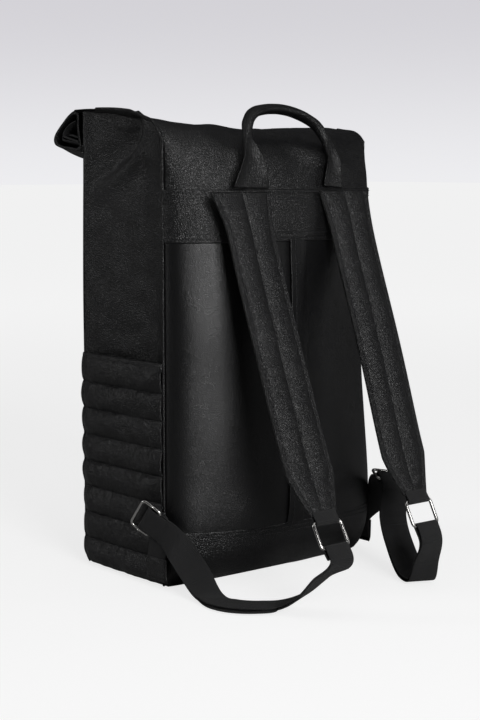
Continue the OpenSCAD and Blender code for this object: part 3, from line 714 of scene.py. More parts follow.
def makeZip():
    look = zipLook
    low, high = baseTop + 0.0015, bandLow + 0.002
    across = stepsAlong(look["right"] - look["left"], 30, edge=0.0008, seams=(look["seam"],))
    x = look["left"] + (look["right"] - look["left"]) * across
    z = low + (high - low) * stepsAlong(high - low, 90)
    zz, xx = np.meshgrid(z, x, indexing="ij")
    rise = through([(0, 1), (0.22, 0.92), (0.36, 1.0), (0.75, 0.8), (0.88, 0.35), (1, 0.03)], across)[None, :]
    rise = rise * np.clip((zz - low) / 0.020, 0.1, 1)
    grid = backPoint(np.arccos(xx / halfW), zz)
    grid[..., 1] -= look["lip"] * rise + look["thick"] * 0.9
    grid[..., 1] -= softField(grid, 0.06, 15) * 0.0001
    flap = sheetPiece("zipFlap", grid, look["thick"], finish["smoothLeather"], (0, 0, 0.2), rim=finish["edge"])
    rideOn(flap, "bag", "smooth_leather", "zip_flap")
    points = backPoint(np.full(len(z), math.acos((look["left"] + look["seam"]) / halfW)), z)
    points[:, 1] -= look["lip"] + look["thick"] * 0.95
    stitchAlong("bag", points[3:-3])
    # the flat tape behind the slot
    tapeLow, tapeHigh = boxOf("zip_tape")
    zz, xx = np.meshgrid(np.linspace(tapeLow[2], tapeHigh[2], 80), np.linspace(tapeLow[0], tapeHigh[0], 24),
                         indexing="ij")
    grid = np.stack([xx, np.full(xx.shape, tapeLow[1]), zz], -1)
    tape = sheetPiece("zipTape", grid, 0.0008, finish["tape"], (0, 0, 0.2))
    rideOn(tape, "bag", "lining", "zip_tape")


def endProfile(side, t):
    # the roof's edge at a side seam, t from 0 at the band to 1 at the roll
    top = roofLeft if side < 0 else roofLeft - 0.016
    rise = top - ridgeZ
    keysY = [(0, -halfD), (0.10, -halfD), (0.20, -halfD + 0.001), (0.27, -halfD + 0.012), (0.36, -halfD + 0.034),
             (0.6, -0.005), (0.8, 0.040), (1, roofEnd)]
    keysZ = [(0, bandHigh), (0.10, bandHigh + 0.028), (0.20, ridgeZ - 0.004), (0.27, ridgeZ + rise * 0.40),
             (0.36, ridgeZ + rise * 0.70), (0.6, ridgeZ + rise * 0.93), (0.8, top), (1, top)]
    return through(keysY, t), through(keysZ, t)


def midProfile(t):
    keysY = [(0, -halfD - 0.048), (0.10, -halfD - 0.041), (0.20, -halfD - 0.024), (0.27, -halfD - 0.002),
             (0.36, -halfD + 0.022), (0.6, -0.005), (0.8, 0.045), (1, roofEnd + 0.010)]
    keysZ = [(0, bandHigh), (0.10, bandHigh + 0.030), (0.20, ridgeZ - 0.007), (0.27, ridgeZ + 0.005),
             (0.36, ridgeZ + 0.005), (0.6, ridgeZ + 0.003), (0.8, ridgeZ + 0.004), (1, ridgeZ + 0.006)]
    return through(keysY, t), through(keysZ, t)


def collarPoint(x, t):
    share = np.abs(x) / halfW
    endLeft, endRight = endProfile(-1, t), endProfile(1, t)
    endY = np.where(x < 0, endLeft[0], endRight[0])
    endZ = np.where(x < 0, endLeft[1], endRight[1])
    midY, midZ = midProfile(t)
    bulgeShare = np.where(x > 0, fullness(np.arccos(np.clip(x / halfW, -1, 1)), endZ),
                          np.sqrt(np.maximum(0, 1 - share ** 2)))
    low = np.clip(1 - t / 0.30, 0, 1)
    blendY = bulgeShare * low + (1 - share ** 2) * (1 - low)
    blendZ = 1 - share ** 2.2
    return packed(np.stack([x, endY + (midY - endY) * blendY, endZ + (midZ - endZ) * blendZ], -1))


def makeCollar():
    across = stepsAlong(0.30, 130)
    a = math.pi * across
    x = -halfW * np.cos(a)
    t = stepsAlong(0.24, 120, seams=(0.004,))
    tt, xx = np.meshgrid(t, x, indexing="ij")
    grid = collarPoint(xx, tt)
    calm = np.sin(math.pi * across)[None, :] ** 0.6 * np.clip(tt / 0.08, 0, 1)
    # soft folds running up from the band towards the front
    ridge = grid[..., 2] - through([(-0.05, 0.463), (-0.007, 0.459), (0.026, 0.4455), (0.0665, 0.432),
                                    (0.12, 0.420)], xx)
    fold = np.where(ridge > 0, bell(ridge, 0.006), bell(ridge, 0.014))
    fold = fold * bell(xx - 0.030, 0.055) * bell(tt - 0.13, 0.14) * 0.0042
    fold += bell(xx + 0.085 - (tt - 0.2) * 0.2, 0.018) * bell(tt - 0.3, 0.2) * 0.0020
    fold += softField(grid, 0.075, 21, (1, 0.6, 1)) * 0.0016 + softField(grid, 0.028, 22) * 0.0004
    out = normalsOf(grid)
    out = out * np.sign(out[len(t) // 2, len(x) // 2, 2])
    grid = grid + out * (fold * calm)[..., None]
    skin = sheetPiece("collarLeather", grid, 0.0026, finish["grainLeather"], (0, 0, 0.2))
    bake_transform(skin)
    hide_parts("collar_back", "collar_top")


def gussetTop(side, y):
    t = np.linspace(0.18, 1, 80)
    edgeY, edgeZ = endProfile(side, t)
    return np.interp(y, edgeY, edgeZ)


gussetLook = {"recess": 0.0095, "thick": 0.0024, "sink": 0.0075, "ridge": 0.0040,
              "fold": [(-0.006, 0.486), (-0.019, 0.468), (-0.010, 0.453), (0.023, 0.430), (0.068, 0.409)]}


def gussetX(side, y, z):
    look = gussetLook
    middle = np.maximum(0, 1 - (np.abs(y) / (halfD - 0.004)) ** 4)
    recess = look["recess"] * through([(0, 1), (pocketTop - 0.01, 1), (pocketTop + 0.02, 0.75), (0.30, 0.35),
                                       (0.38, 0.40), (0.48, 0.75)], z)
    # a fold that hooks down from the roof's edge and runs out towards the front
    line = pathThrough(look["fold"], 90)
    gap = np.stack([y, z], -1)[..., None, :] - line
    near = np.linalg.norm(gap, axis=-1)
    which = near.argmin(-1)
    way = np.gradient(line, axis=0)[which]
    toLine = np.take_along_axis(gap, which[..., None, None], -2)[..., 0, :]
    ahead = np.sign(way[..., 0] * toLine[..., 1] - way[..., 1] * toLine[..., 0]) * near.min(-1)
    strength = through([(0, 0.5), (0.12, 1.0), (0.6, 0.85), (1, 0)], which / 89)
    sunk = np.where(ahead > 0, bell(ahead, 0.024), bell(ahead, 0.0065)) * look["sink"]
    ridge = bell(ahead + 0.0135, 0.0105) * look["ridge"]
    return side * (halfW - middle * recess + (ridge - sunk) * strength * middle ** 0.6)


def makeGusset(side):
    name = "Left" if side < 0 else "Right"
    across = stepsAlong(2 * halfD, 70)
    up = stepsAlong(0.46, 170)
    y = halfD * (2 * across - 1)
    f, yy = np.meshgrid(up, y, indexing="ij")
    top = gussetTop(side, yy) - 0.0022
    zz = 0.003 + f * (top - 0.003)
    grid = packed(np.stack([gussetX(side, yy, zz), yy, zz], -1))
    middle = np.maximum(0, 1 - (np.abs(yy) / halfD) ** 6)
    soft = softField(grid, 0.09, 31 + side, (1, 1, 0.7)) * 0.0013 + softField(grid, 0.03, 34 + side) * 0.00035
    grid[..., 0] += side * soft * middle
    skin = sheetPiece("sideGusset" + name, grid, gussetLook["thick"], finish["grainLeather"], (0, 0, 0.25))
    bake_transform(skin)
    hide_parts("side_panel_" + name.lower())


def makeFront():
    across = stepsAlong(0.28, 90)
    low, high = pocketTop - 0.002, ridgeZ - 0.010
    up = stepsAlong(high - low, 90)
    zz, aa = np.meshgrid(low + (high - low) * up, math.pi * across, indexing="ij")
    bulge = through(frontKeys + [(ridgeZ, 0.004)], zz)
    grid = packed(np.stack([halfW * np.cos(aa), halfD + bulge * np.sin(aa), zz], -1))
    grid[..., 1] += softField(grid, 0.10, 41, (1, 1, 0.6)) * 0.0012 * np.sin(aa) ** 0.5
    skin = sheetPiece("frontPanel", grid, 0.0026, finish["grainLeather"], (0, 0, 0.3))
    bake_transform(skin)
    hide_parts("front_panel")


quiltLook = {"channels": 8, "rise": 0.0060, "pucker": 0.0007, "thick": 0.0050}


def sideBow(y):
    # 1 in the middle of a side and 0 at its corners
    return np.maximum(0, 1 - (np.abs(y) / (halfD - 0.004)) ** 4)


def channelPuff(z, low, high):
    share = (z - low) / (high - low) * quiltLook["channels"]
    wave = np.abs(np.sin(math.pi * share))
    nearSeam = np.abs(share - np.round(share)) * (high - low) / quiltLook["channels"]
    return wave ** 0.62, nearSeam


def quiltSurface(grid, out, low, high, calm, seed):
    puff, nearSeam = channelPuff(grid[..., 2], low, high)
    pucker = softField(grid, 0.011, seed, (1, 1, 0.25)) * bell(nearSeam, 0.007) * quiltLook["pucker"]
    lump = softField(grid, 0.045, seed + 1) * 0.0006
    even = puff * quiltLook["rise"] * (0.9 + 0.12 * softField(grid, 0.05, seed + 2))
    rise = (even + pucker * puff ** 0.4 + lump * puff) * calm
    return grid + out * rise[..., None]


def seamSteps(low, high):
    pitch = (high - low) / quiltLook["channels"]
    close = [k * pitch for k in range(1, quiltLook["channels"])]
    return stepsAlong(high - low, 120, edge=0.0015, seams=close)


def makeSideQuilt(side):
    name = "Left" if side < 0 else "Right"
    low, high = 0.0025, pocketTop
    across = stepsAlong(2 * halfD - 0.002, 90)
    y = (halfD - 0.001) * (2 * across - 1)
    z = low + (high - low) * seamSteps(low, high)
    zz, yy = np.meshgrid(z, y, indexing="ij")
    middle = sideBow(yy)
    grid = packed(np.stack([side * (halfW + 0.0016 + 0.0022 * middle), yy, zz], -1))
    calm = np.clip((halfD - np.abs(yy)) / 0.014, 0, 1) ** 0.5
    out = np.zeros_like(grid)
    out[..., 0] = side
    grid = quiltSurface(grid, out, low, high, calm, 51 + side)
    quilt = sheetPiece("sideQuilt" + name, grid, quiltLook["thick"], finish["grainLeather"], (0, 0, 0.12),
                       edge=0.0015)
    rideOn(quilt, "bag", "grain_leather", "side_quilt_" + name.lower())
    for k in range(1, quiltLook["channels"]):
        seam = low + (high - low) * k / quiltLook["channels"]
        row = np.linspace(-halfD + 0.006, halfD - 0.006, 60)
        inset = sideBow(row)
        points = packed(np.stack([side * (halfW + 0.0019 + 0.0022 * inset), row, np.full(60, seam)], -1))
        stitchAlong("bag", points)
    # folded binding along the open edge
    rise = np.array([-0.0085, -0.0080, -0.0040, -0.0010, 0.0012, 0.0020, 0.0012, -0.0010, -0.0080])
    reach = np.array([0.0002, 0.0010, 0.0014, 0.0014, 0.0009, -0.0015, -0.0038, -0.0044, -0.0040])
    inset = sideBow(y)
    base = packed(np.stack([side * (halfW + 0.0022 + 0.0022 * inset), y, np.full(len(y), high + 0.0015)], -1))
    rings = base[:, None] + np.stack([side * reach, 0 * rise, rise], -1)[None]
    binding = loftPiece("pocketBinding" + name, rings, finish["grainLeather"])
    rideOn(binding, "bag", "grain_leather", "pocket_binding_" + name.lower())
    points = base + np.array([side * 0.0015, 0, -0.0052])
    stitchAlong("bag", points[4:-4])


def makeFrontQuilt():
    low, high = 0.0025, pocketTop
    across = stepsAlong(0.28, 120)
    z = low + (high - low) * seamSteps(low, high)
    zz, aa = np.meshgrid(z, math.pi * across, indexing="ij")
    bulge = through(frontKeys, zz)
    grid = packed(np.stack([halfW * np.cos(aa), halfD + 0.001 + bulge * np.sin(aa), zz], -1))
    out = np.zeros_like(grid)
    out[..., 1] = 1
    calm = np.clip(np.sin(aa) * 6, 0, 1) ** 0.5
    grid = quiltSurface(grid, out, low, high, calm, 61)
    quilt = sheetPiece("frontQuilt", grid, quiltLook["thick"], finish["grainLeather"], (0, 0, 0.12),
                       edge=0.0015)
    rideOn(quilt, "bag", "grain_leather", "front_quilt")
    for k in range(1, quiltLook["channels"] + 1):
        seam = low + (high - low) * k / quiltLook["channels"]
        a = np.linspace(0.08, math.pi - 0.08, 120)
        bulge = through(frontKeys, np.full(120, seam))
        points = packed(np.stack([halfW * np.cos(a), halfD + 0.0013 + bulge * np.sin(a), np.full(120, seam)], -1))
        stitchAlong("bag", points)


pipingRound = 0.0013


def makePiping():
    for side, name in ((-1, "Left"), (1, "Right")):
        z = np.linspace(0.002, ridgeZ - 0.006, 90)
        lean = 0.006 * np.clip(1 - z / 0.03, 0, 1) ** 2
        back = np.stack([side * (halfW + 0.0010 + 0.35 * lean), -halfD - 0.0008 + lean * 0.4, z], -1)
        t = np.linspace(0.19, 0.40, 24)
        y, high = endProfile(side, t)
        top = np.stack([np.full(24, side * (halfW + 0.0008)), y, high - 0.0006], -1)
        line = packed(np.concatenate([back, top[top[:, 2] > ridgeZ - 0.003]]))
        cord = tubePiece("backPiping" + name, line, pipingRound, finish["grainLeather"])
        rideOn(cord, "bag", "grain_leather", "piping_" + name.lower())
        x, y = np.full(70, side * (halfW + 0.0006)), np.full(70, halfD + 0.0004)
        front = packed(np.stack([x, y, np.linspace(0.002, pocketTop, 70)], -1))
        rideOn(tubePiece("frontPiping" + name, front, pipingRound, finish["grainLeather"]), "bag", "grain_leather")


def makeBase():
    a = np.linspace(0, math.pi, 90)
    back = np.stack([halfW * np.cos(a), -halfD - 0.006 * np.sin(a)], -1)
    front = np.stack([-halfW * np.cos(a), halfD + 0.004 * np.sin(a)], -1)
    outline = np.concatenate([back, front[1:-1]])
    levels = [(0.0, 0.988), (0.0006, 0.996), (0.0016, 1.0), (0.0030, 0.998)]
    rings = packed(np.stack([np.column_stack([outline * share, np.full(len(outline), z)]) for z, share in levels]))
    base = loftPiece("basePanel", rings, finish["grainLeather"])
    rideOn(base, "bag", "grain_leather", "base_panel")


rollSection = [(-0.004, 0.001), (0.006, 0.000), (0.018, -0.006), (0.032, -0.015), (0.043, -0.025), (0.0455, -0.031),
               (0.042, -0.0355), (0.028, -0.0395), (0.010, -0.0425), (-0.006, -0.0455), (-0.0125, -0.043),
               (-0.0125, -0.036), (-0.008, -0.020), (-0.006, -0.008)]


def rollRing(x, scale, count=72):
    section = np.array(rollSection + rollSection[:1])
    run = runOf(section)
    s = np.linspace(0, run[-1], count, endpoint=False)
    y = np.interp(s, run, section[:, 0])
    z = np.interp(s, run, section[:, 1])
    for _ in range(3):
        y = (np.roll(y, 1) + 2 * y + np.roll(y, -1)) / 4
        z = (np.roll(z, 1) + 2 * z + np.roll(z, -1)) / 4
    cy, cz = 0.014, -0.024
    _, top = endProfile(-1 if x < 0 else 1, np.array(1.0))
    share = abs(x) / halfW
    lift = float(top) + (ridgeZ + 0.006 - float(top)) * (1 - share ** 2.2)
    out = roofEnd + 0.010 * (1 - share ** 2)
    y, z = out + cy + (y - cy) * scale, lift + cz + (z - cz) * scale
    return packed(np.stack([np.full(count, x), y, z], -1))


def makeRoll():
    xs = (halfW - 0.003) * (2 * stepsAlong(0.26, 90, edge=0.003) - 1)
    outer = np.stack([rollRing(x, 1) for x in xs])
    middle = outer.mean(1, keepdims=True)
    way = unit(outer - middle)
    soft = softField(outer, 0.06, 71, (1, 0.7, 0.7)) * 0.0016 + softField(outer, 0.02, 72) * 0.0003
    outer = outer + way * soft[..., None]
    inner = np.stack([rollRing(x, 0.84) for x in xs]) + way * soft[..., None]
    rings = np.concatenate([outer, inner[::-1], outer[:1]])
    shell = loftPiece("roll", rings, finish["grainLeather"], capped=False)
    rideOn(shell, "roll_top", "grain_leather", "roll")
    # the turned-in end of the leather inside the roll
    flap = np.array([(0.006, -0.008), (0.020, -0.013), (0.032, -0.022), (0.034, -0.029), (0.022, -0.032),
                     (0.006, -0.034), (-0.003, -0.036), (-0.004, -0.029), (0.006, -0.025), (0.018, -0.023)])
    path = pathThrough(flap, 60)
    rows = []
    for x in (halfW - 0.0055) * (2 * stepsAlong(0.25, 40, edge=0.001) - 1):
        centre = rollRing(x, 1).mean(0)
        y, z = centre[1] + path[:, 0] - 0.0145, centre[2] + path[:, 1] + 0.0245
        rows.append(np.stack([np.full(60, centre[0]), y, z], -1))
    turned = sheetPiece("rollTurnIn", np.array(rows), 0.0022, finish["lining"], (0, roofEnd, 0.46),
                        rim=finish["edge"])
    rideOn(turned, "roll_top", "lining")


def makeClosure():
    low, high = boxOf("closure_tab")
    lean = (high[1] - low[1] - 0.0024) / (high[2] - low[2])
    width = high[0] - low[0]
    rows = np.linspace(0, 1, 60)
    length = (high[2] - low[2])
    grid = []
    for r in rows:
        down = r * length
        left = length - down
        half = width / 2
        if left < width / 2:
            half = math.sqrt(max(0.000001, half ** 2 - (half - left) ** 2))
        x = half * np.linspace(-1, 1, 41)
        grid.append(np.stack([x, np.full(41, high[1] - 0.0002 - lean * down), np.full(41, high[2] - down)], -1))
    grid = np.array(grid)
    grid[..., 1] += 0.0006 * np.cos(np.linspace(-1, 1, 41) * math.pi / 2)[None]
    piece = sheetPiece("closureTab", grid, 0.0022, finish["grainLeather"], (0, 0, 0.4), rim=finish["edge"])
    rideOn(piece, "roll_top", "grain_leather", "closure_tab")
    for node in ("snap_cap", "snap_socket"):
        paint(node, "nickel")


def paint(node, name):
    slots = frame["nodes"][node].data.materials
    slots.clear()
    slots.append(finish[name])


handleLook = {"round": 0.0054, "foot": 0.0225, "curl": 0.009,
              "line": [(-0.0600, -0.1208, 0.4080), (-0.0595, -0.1190, 0.4200), (-0.0585, -0.1155, 0.4360),
                       (-0.0565, -0.1105, 0.4560), (-0.0500, -0.1045, 0.4720), (-0.0370, -0.0990, 0.4825),
                       (-0.0180, -0.0960, 0.4872), (0.0000, -0.0950, 0.4882), (0.0180, -0.0955, 0.4860),
                       (0.0360, -0.0970, 0.4800), (0.0500, -0.0985, 0.4715), (0.0570, -0.1020, 0.4590),
                       (0.0570, -0.1090, 0.4400), (0.0540, -0.1160, 0.4240), (0.0520, -0.1200, 0.4080)]}


def makeHandle():
    look = handleLook
    path = pathThrough(look["line"], 170)
    run = runOf(path)
    along = unit(np.gradient(path, axis=0))
    across = unit(np.cross(along, np.array([0, -1, 0])))
    deep = unit(np.cross(across, along))
    deep = deep * np.where(deep[:, 1:2] > 0, -1, 1)
    # flat feet that close up into the rolled tube; the right foot is folded narrower
    end = np.minimum(run, run[-1] - run)
    right = run > run[-1] / 2
    foot, tube = look["foot"], look["round"]
    wide = through([(0, foot), (0.012, foot * 0.86), (0.024, foot * 0.64), (0.036, foot * 0.44), (0.048, foot * 0.27),
                    (0.058, tube), (0.07, tube), (0.2, tube)], end)
    wide = np.where(right, tube + (wide - tube) * 0.42, wide)
    thin = through([(0, 0.0019), (0.014, 0.0022), (0.030, 0.0034), (0.045, 0.0048), (0.060, tube),
                    (0.2, tube)], end)
    curl = look["curl"] * through([(0, 0.15), (0.012, 0.45), (0.028, 0.95), (0.042, 0.55), (0.058, 0),
                                   (0.2, 0)], end)
    curl = np.where(right, curl * 0.8, curl)
    turn = np.linspace(0, 2 * math.pi, 44, endpoint=False)
    c, d = np.cos(turn), np.sin(turn)
    depth = thin[:, None] * np.sign(d) * np.abs(d) ** 0.8 + curl[:, None] * np.abs(c) ** 2.4
    rings = path[:, None] + across[:, None] * (wide[:, None] * c)[..., None] + deep[:, None] * depth[..., None]
    rings = rings + deep[:, None] * (softField(rings, 0.02, 81) * 0.0003)[..., None]
    body = loftPiece("handleCover", rings, finish["grainLeather"])
    rideOn(body, "handle", "grain_leather", "handle_cover", "handle_core")
    # the seam that closes the tube runs along its underside
    inner = slice(44, -44)
    under = unit(np.array([0, 0, 0.43]) - path)
    stitchAlong("handle", (path + under * tube)[inner])


strapLook = {"width": 0.060, "tip": 0.032, "thick": 0.0096, "flange": 0.0055, "taper": 0.042, "flare": 0.045,
             "spread": {-1: (0.0135, 0.0035), 1: (0.0075, 0.0010)}, "bow": {-1: 0.008, 1: 0.011}}


def strapPath(side, count=200):
    name = "left" if side < 0 else "right"
    top = np.array(jointOf(f"strap_{name}_swing")["pos_m"]) - [0, 0, 0.002]
    bar = np.array(jointOf(f"ring_{name}_turn")["pos_m"])
    reach = top[1] - bar[1]
    end = bar - 0.007 * unit((bar - top) / 2 - np.array([0, reach * 0.21, -0.016]))
    t = np.linspace(0, 1, count)[:, None]
    bend = (top + end) / 2 + np.array([0, (top[1] - end[1]) * 0.21, -0.016])
    bow = strapLook["bow"][side] * 16 * t ** 2 * (1 - t) ** 2
    return top * (1 - t) ** 2 + bend * 2 * t * (1 - t) + end * t * t - bow * np.array([0, 1, 0]), bar


def strapAxes(path):
    along = unit(np.gradient(path, axis=0))
    out = np.stack([0 * along[:, 0], along[:, 2], -along[:, 1]], -1)
    return along, out


def makeStrap(side):
    look = strapLook
    name = "Left" if side < 0 else "Right"
    body = "strap_" + name.lower()
    path, bar = strapPath(side, 260)
    along, out = strapAxes(path)
    run = runOf(path)
    left = run[-1] - run
    width = look["width"] + (look["tip"] - look["width"]) * np.clip(1 - left / look["taper"], 0, 1) ** 1.15
    across = stepsAlong(look["width"], 60, edge=0.0012, seams=(look["flange"], -look["flange"], look["width"] / 2))
    u = (2 * across - 1)
    # the sewn-in end spreads wider than the strap, more on one edge than the other
    flare = np.clip(1 - run / look["flare"], 0, 1) ** 1.6
    spreadLeft, spreadRight = look["spread"][side]
    middle = flare * (spreadRight - spreadLeft) / 2
    width = width + flare * (spreadLeft + spreadRight)
    half = width[:, None] / 2
    flange = np.minimum(look["flange"], half * 0.28)
    distance = half * np.abs(u)[None, :]
    share = np.clip(distance / (half - flange), 0, 1)
    dome = np.abs(np.sin(math.pi * share)) ** 0.55
    endEase = np.clip(run / 0.020, 0, 1)[:, None] ** 0.6 * np.clip((left - 0.012) / 0.050, 0, 1)[:, None] ** 0.9
    high = 0.0012 + (look["thick"] * 0.5 - 0.0014) * dome * (0.25 + 0.75 * endEase)
    low = -0.0012 - (look["thick"] * 0.5 - 0.0034) * np.clip(1 - share ** 6, 0, 1) * endEase
    spots = path[:, None] + np.array([1, 0, 0]) * (middle[:, None] + half * u[None, :])[..., None]
    seamNear = np.minimum(distance, np.abs(half - flange - distance))
    pucker = softField(spots, 0.010, 91 + side, (0.35, 1, 1)) * 0.00038 * bell(seamNear, 0.008)
    wave = softField(spots, 0.035, 94 + side, (0.5, 1, 1)) * 0.0003
    high = high + (pucker + wave) * np.clip(dome * 2, 0, 1)
    front = spots + out[:, None] * high[..., None]
    rear = spots + out[:, None] * low[..., None]
    cover = shellBetween("strapCover" + name, front, spots, finish["strapLeather"])
    rideOn(cover, body, "grain_leather", f"{body}_cover", f"{body}_pad")
    below = out[:, None] * 0.0002
    backing = shellBetween("strapBacking" + name, spots - below, rear - below, finish["smoothLeather"])
    rideOn(backing, body, "grain_leather", f"{body}_backing")
    for sign in (-1, 0, 1):
        where = middle + sign * (width / 2 - np.minimum(look["flange"], width / 2 * 0.28))
        points = path + np.array([1, 0, 0]) * where[:, None] + out * 0.0014
        stop = -26 if sign == 0 else -6
        stitchAlong(body, points[5:stop])
    # the loop of webbing that holds the ring
    radius = 0.00275  # to the middle of the webbing, round the ring's wire
    turn = np.linspace(0, math.pi, 16)
    down = along[-1]
    outward = out[-1]
    rise = np.linspace(0.0105, 0.0, 14)[:-1]
    closing = np.clip(rise / 0.009, 0, 1) ** 0.7
    outerSide = [bar + outward * radius * (1 - 0.45 * k) - down * r for r, k in zip(rise, closing)]
    loop = [bar + radius * (math.cos(a) * outward + math.sin(a) * down) for a in turn]
    innerSide = [bar - outward * radius * (1 - 0.45 * k) - down * r for r, k in zip(rise, closing)][::-1]
    line = np.array(outerSide + loop + innerSide)
    ways = np.tile([1.0, 0, 0], (len(line), 1))
    ribbonPiece("strapTab" + name, line, ways, 0.0295, 0.0013, body, f"{body}_tab")


def shellBetween(name, front, rear, material):
    # closed solid between two grids that share their outline
    rows, cols, _ = front.shape
    faces = np.concatenate([gridFaces(rows, cols), gridFaces(rows, cols, rows * cols, flip=True),
                            rimQuads(rows, cols)])
    return addMesh(name, np.concatenate([front.reshape(-1, 3), rear.reshape(-1, 3)]), faces, [material])


def bandRings(path, ways, width, thick):
    # flat webbing with softly rounded edges; UV runs along and across in metres
    along = unit(np.gradient(path, axis=0))
    ways = unit(ways - along * np.sum(ways * along, 1, keepdims=True))
    out = np.cross(along, ways)
    half, h = width / 2, thick / 2
    section = np.array([(-half, 0), (-half + h * 0.35, h * 0.7), (-half + h * 1.2, h), (-half * 0.5, h), (0, h),
                        (half * 0.5, h), (half - h * 1.2, h), (half - h * 0.35, h * 0.7), (half, 0),
                        (half - h * 0.35, -h * 0.7), (half - h * 1.2, -h), (half * 0.5, -h), (0, -h), (-half * 0.5, -h),
                        (-half + h * 1.2, -h), (-half + h * 0.35, -h * 0.7)])
    rings = path[:, None] + ways[:, None] * section[None, :, :1] + out[:, None] * section[None, :, 1:]
    uv = np.stack([np.repeat(runOf(path), len(section)), np.tile(section[:, 0], len(path))], -1)
    return rings, uv


def ribbonPiece(name, path, ways, width, thick, body, *nodes):
    rings, uv = bandRings(path, ways, width, thick)
    rideOn(loftPiece(name, rings, finish["webbing"], uv=uv), body, "webbing", *nodes)


def roundedLoop(width, length, bend, steps=10):
    corners = [(width / 2 - bend, length / 2 - bend, 0), (-width / 2 + bend, length / 2 - bend, 90),
               (-width / 2 + bend, -length / 2 + bend, 180), (width / 2 - bend, -length / 2 + bend, 270)]
    points = []
    for x, y, start in corners:
        for k in range(steps + 1):
            a = math.radians(start + 90 * k / steps)
            points.append((x + bend * math.cos(a), y + bend * math.sin(a)))
    return np.array(points)


def makeRing(side):
    name = "left" if side < 0 else "right"
    path, bar = strapPath(side)
    down = unit(path[-1] - path[-5])
    low, high = boxOf("ring_" + name)
    wire = 0.00175
    width = high[0] - low[0] - 2 * wire
    flat = roundedLoop(width, 0.0265, 0.0042)
    centre = bar + down * 0.01325
    points = centre + flat[:, :1] * np.array([1, 0, 0]) + flat[:, 1:] * -down
    ring = loopTube("ring" + name.title(), points, wire, finish["nickel"], 16)
    rideOn(ring, "ring_" + name, "nickel", "ring_" + name)
    return bar + down * 0.0265, down


def makeSlider(side):
    name = "left" if side < 0 else "right"
    corners = np.array([tuple(v.co) for v in frame["nodes"][f"slider_{name}_bar"].data.vertices])
    centre = (corners.min(0) + corners.max(0)) / 2
    barWay = np.linalg.svd(corners - centre, full_matrices=False)[2][0]
    barWay = barWay * np.sign(barWay[1])
    downWay = unit(np.array(jointOf(f"slider_{name}_slide")["axis"]))
    facing = np.cross(barWay, downWay)
    flat = roundedLoop(0.035, 0.023, 0.0045)
    points = centre + flat[:, :1] * barWay + flat[:, 1:] * downWay
    loop = loopTube("sliderFrame" + name.title(), points, 0.0015, finish["nickel"], 14)
    rideOn(loop, "slider_" + name, "nickel", f"slider_{name}_frame")
    # centre bar with a knob at each end
    reach = np.linspace(-1, 1, 60)
    barRound = 0.00135 + 0.0010 * np.clip((np.abs(reach) - 0.88) / 0.05, 0, 1)
    barRound[[0, -1]] *= 0.55
    line = centre + reach[:, None] * barWay * 0.0190
    rings = roundRings(line, np.tile(downWay, (60, 1)), np.tile(facing, (60, 1)), barRound, 16)
    bar = loftPiece("sliderBar" + name.title(), rings, finish["nickel"])
    rideOn(bar, "slider_" + name, "nickel", f"slider_{name}_bar")
    return centre, barWay, downWay


webLook = {"width": 0.030, "thick": 0.0014, "barGap": 0.0026, "pressed": 0.0010,
           "left": [(-0.1400, -0.098, 0.0525), (-0.1305, -0.115, 0.027), (-0.129, -0.138, 0.006),
                    (-0.133, -0.172, 0.0045), (-0.116, -0.196, 0.0045), (-0.098, -0.207, 0.0055),
                    (-0.090, -0.231, 0.018), (-0.081, -0.249, 0.038)],
           "leftLie": [(-0.35, 0.45, -0.82), (-0.8, 0.3, -0.5), (-1, 0.1, 0), (-0.98, -0.19, 0), (-0.7, -0.72, 0),
                       (-0.83, -0.55, 0), (-0.9, -0.43, 0), (-0.98, -0.2, 0)],
           "right": [(0.104, -0.163, 0.057), (0.095, -0.184, 0.028), (0.087, -0.210, 0.0055), (0.080, -0.228, 0.006),
                     (0.075, -0.239, 0.026)],
           "rightLie": [(-0.88, 0.46, 0.05), (-0.88, 0.46, 0), (-0.88, 0.46, 0), (-0.9, 0.42, 0), (-0.96, 0.25, 0)]}


def webbingRoute(side):
    barCentre, barWay, downWay = sliderPlaces[side]
    ringLow, ringDown = ringPlaces[side]
    name = "left" if side < 0 else "right"
    atSlider = [barCentre, barCentre + 0.014 * downWay, barCentre + 0.020 * downWay]
    points = np.array(atSlider + webLook[name] + [ringLow + 0.014 * ringDown, ringLow])
    ways = np.array([barWay, barWay, barWay] + webLook[name + "Lie"] + [(-1, 0, 0), (-1, 0, 0)])
    path = pathThrough(np.concatenate([points, ways], 1), 240)
    return path[:, :3], unit(path[:, 3:])


def bandMesh(name, bands, material):
    # several capped bands in one mesh
    verts, faces, uvs, offset = [], [], [], 0
    for path, ways in bands:
        rings, uv = bandRings(path, ways, webLook["width"], webLook["thick"])
        rows, cols, _ = rings.shape
        verts.append(rings.reshape(-1, 3))
        uvs.append(uv)
        faces += [tuple(f) for f in gridFaces(rows, cols, offset, wrap=True)]
        faces.append(tuple(offset + np.arange(cols)[::-1]))
        faces.append(tuple(offset + (rows - 1) * cols + np.arange(cols)))
        offset += rows * cols
    return addMesh(name, np.concatenate(verts), faces, [material], uv=np.concatenate(uvs))


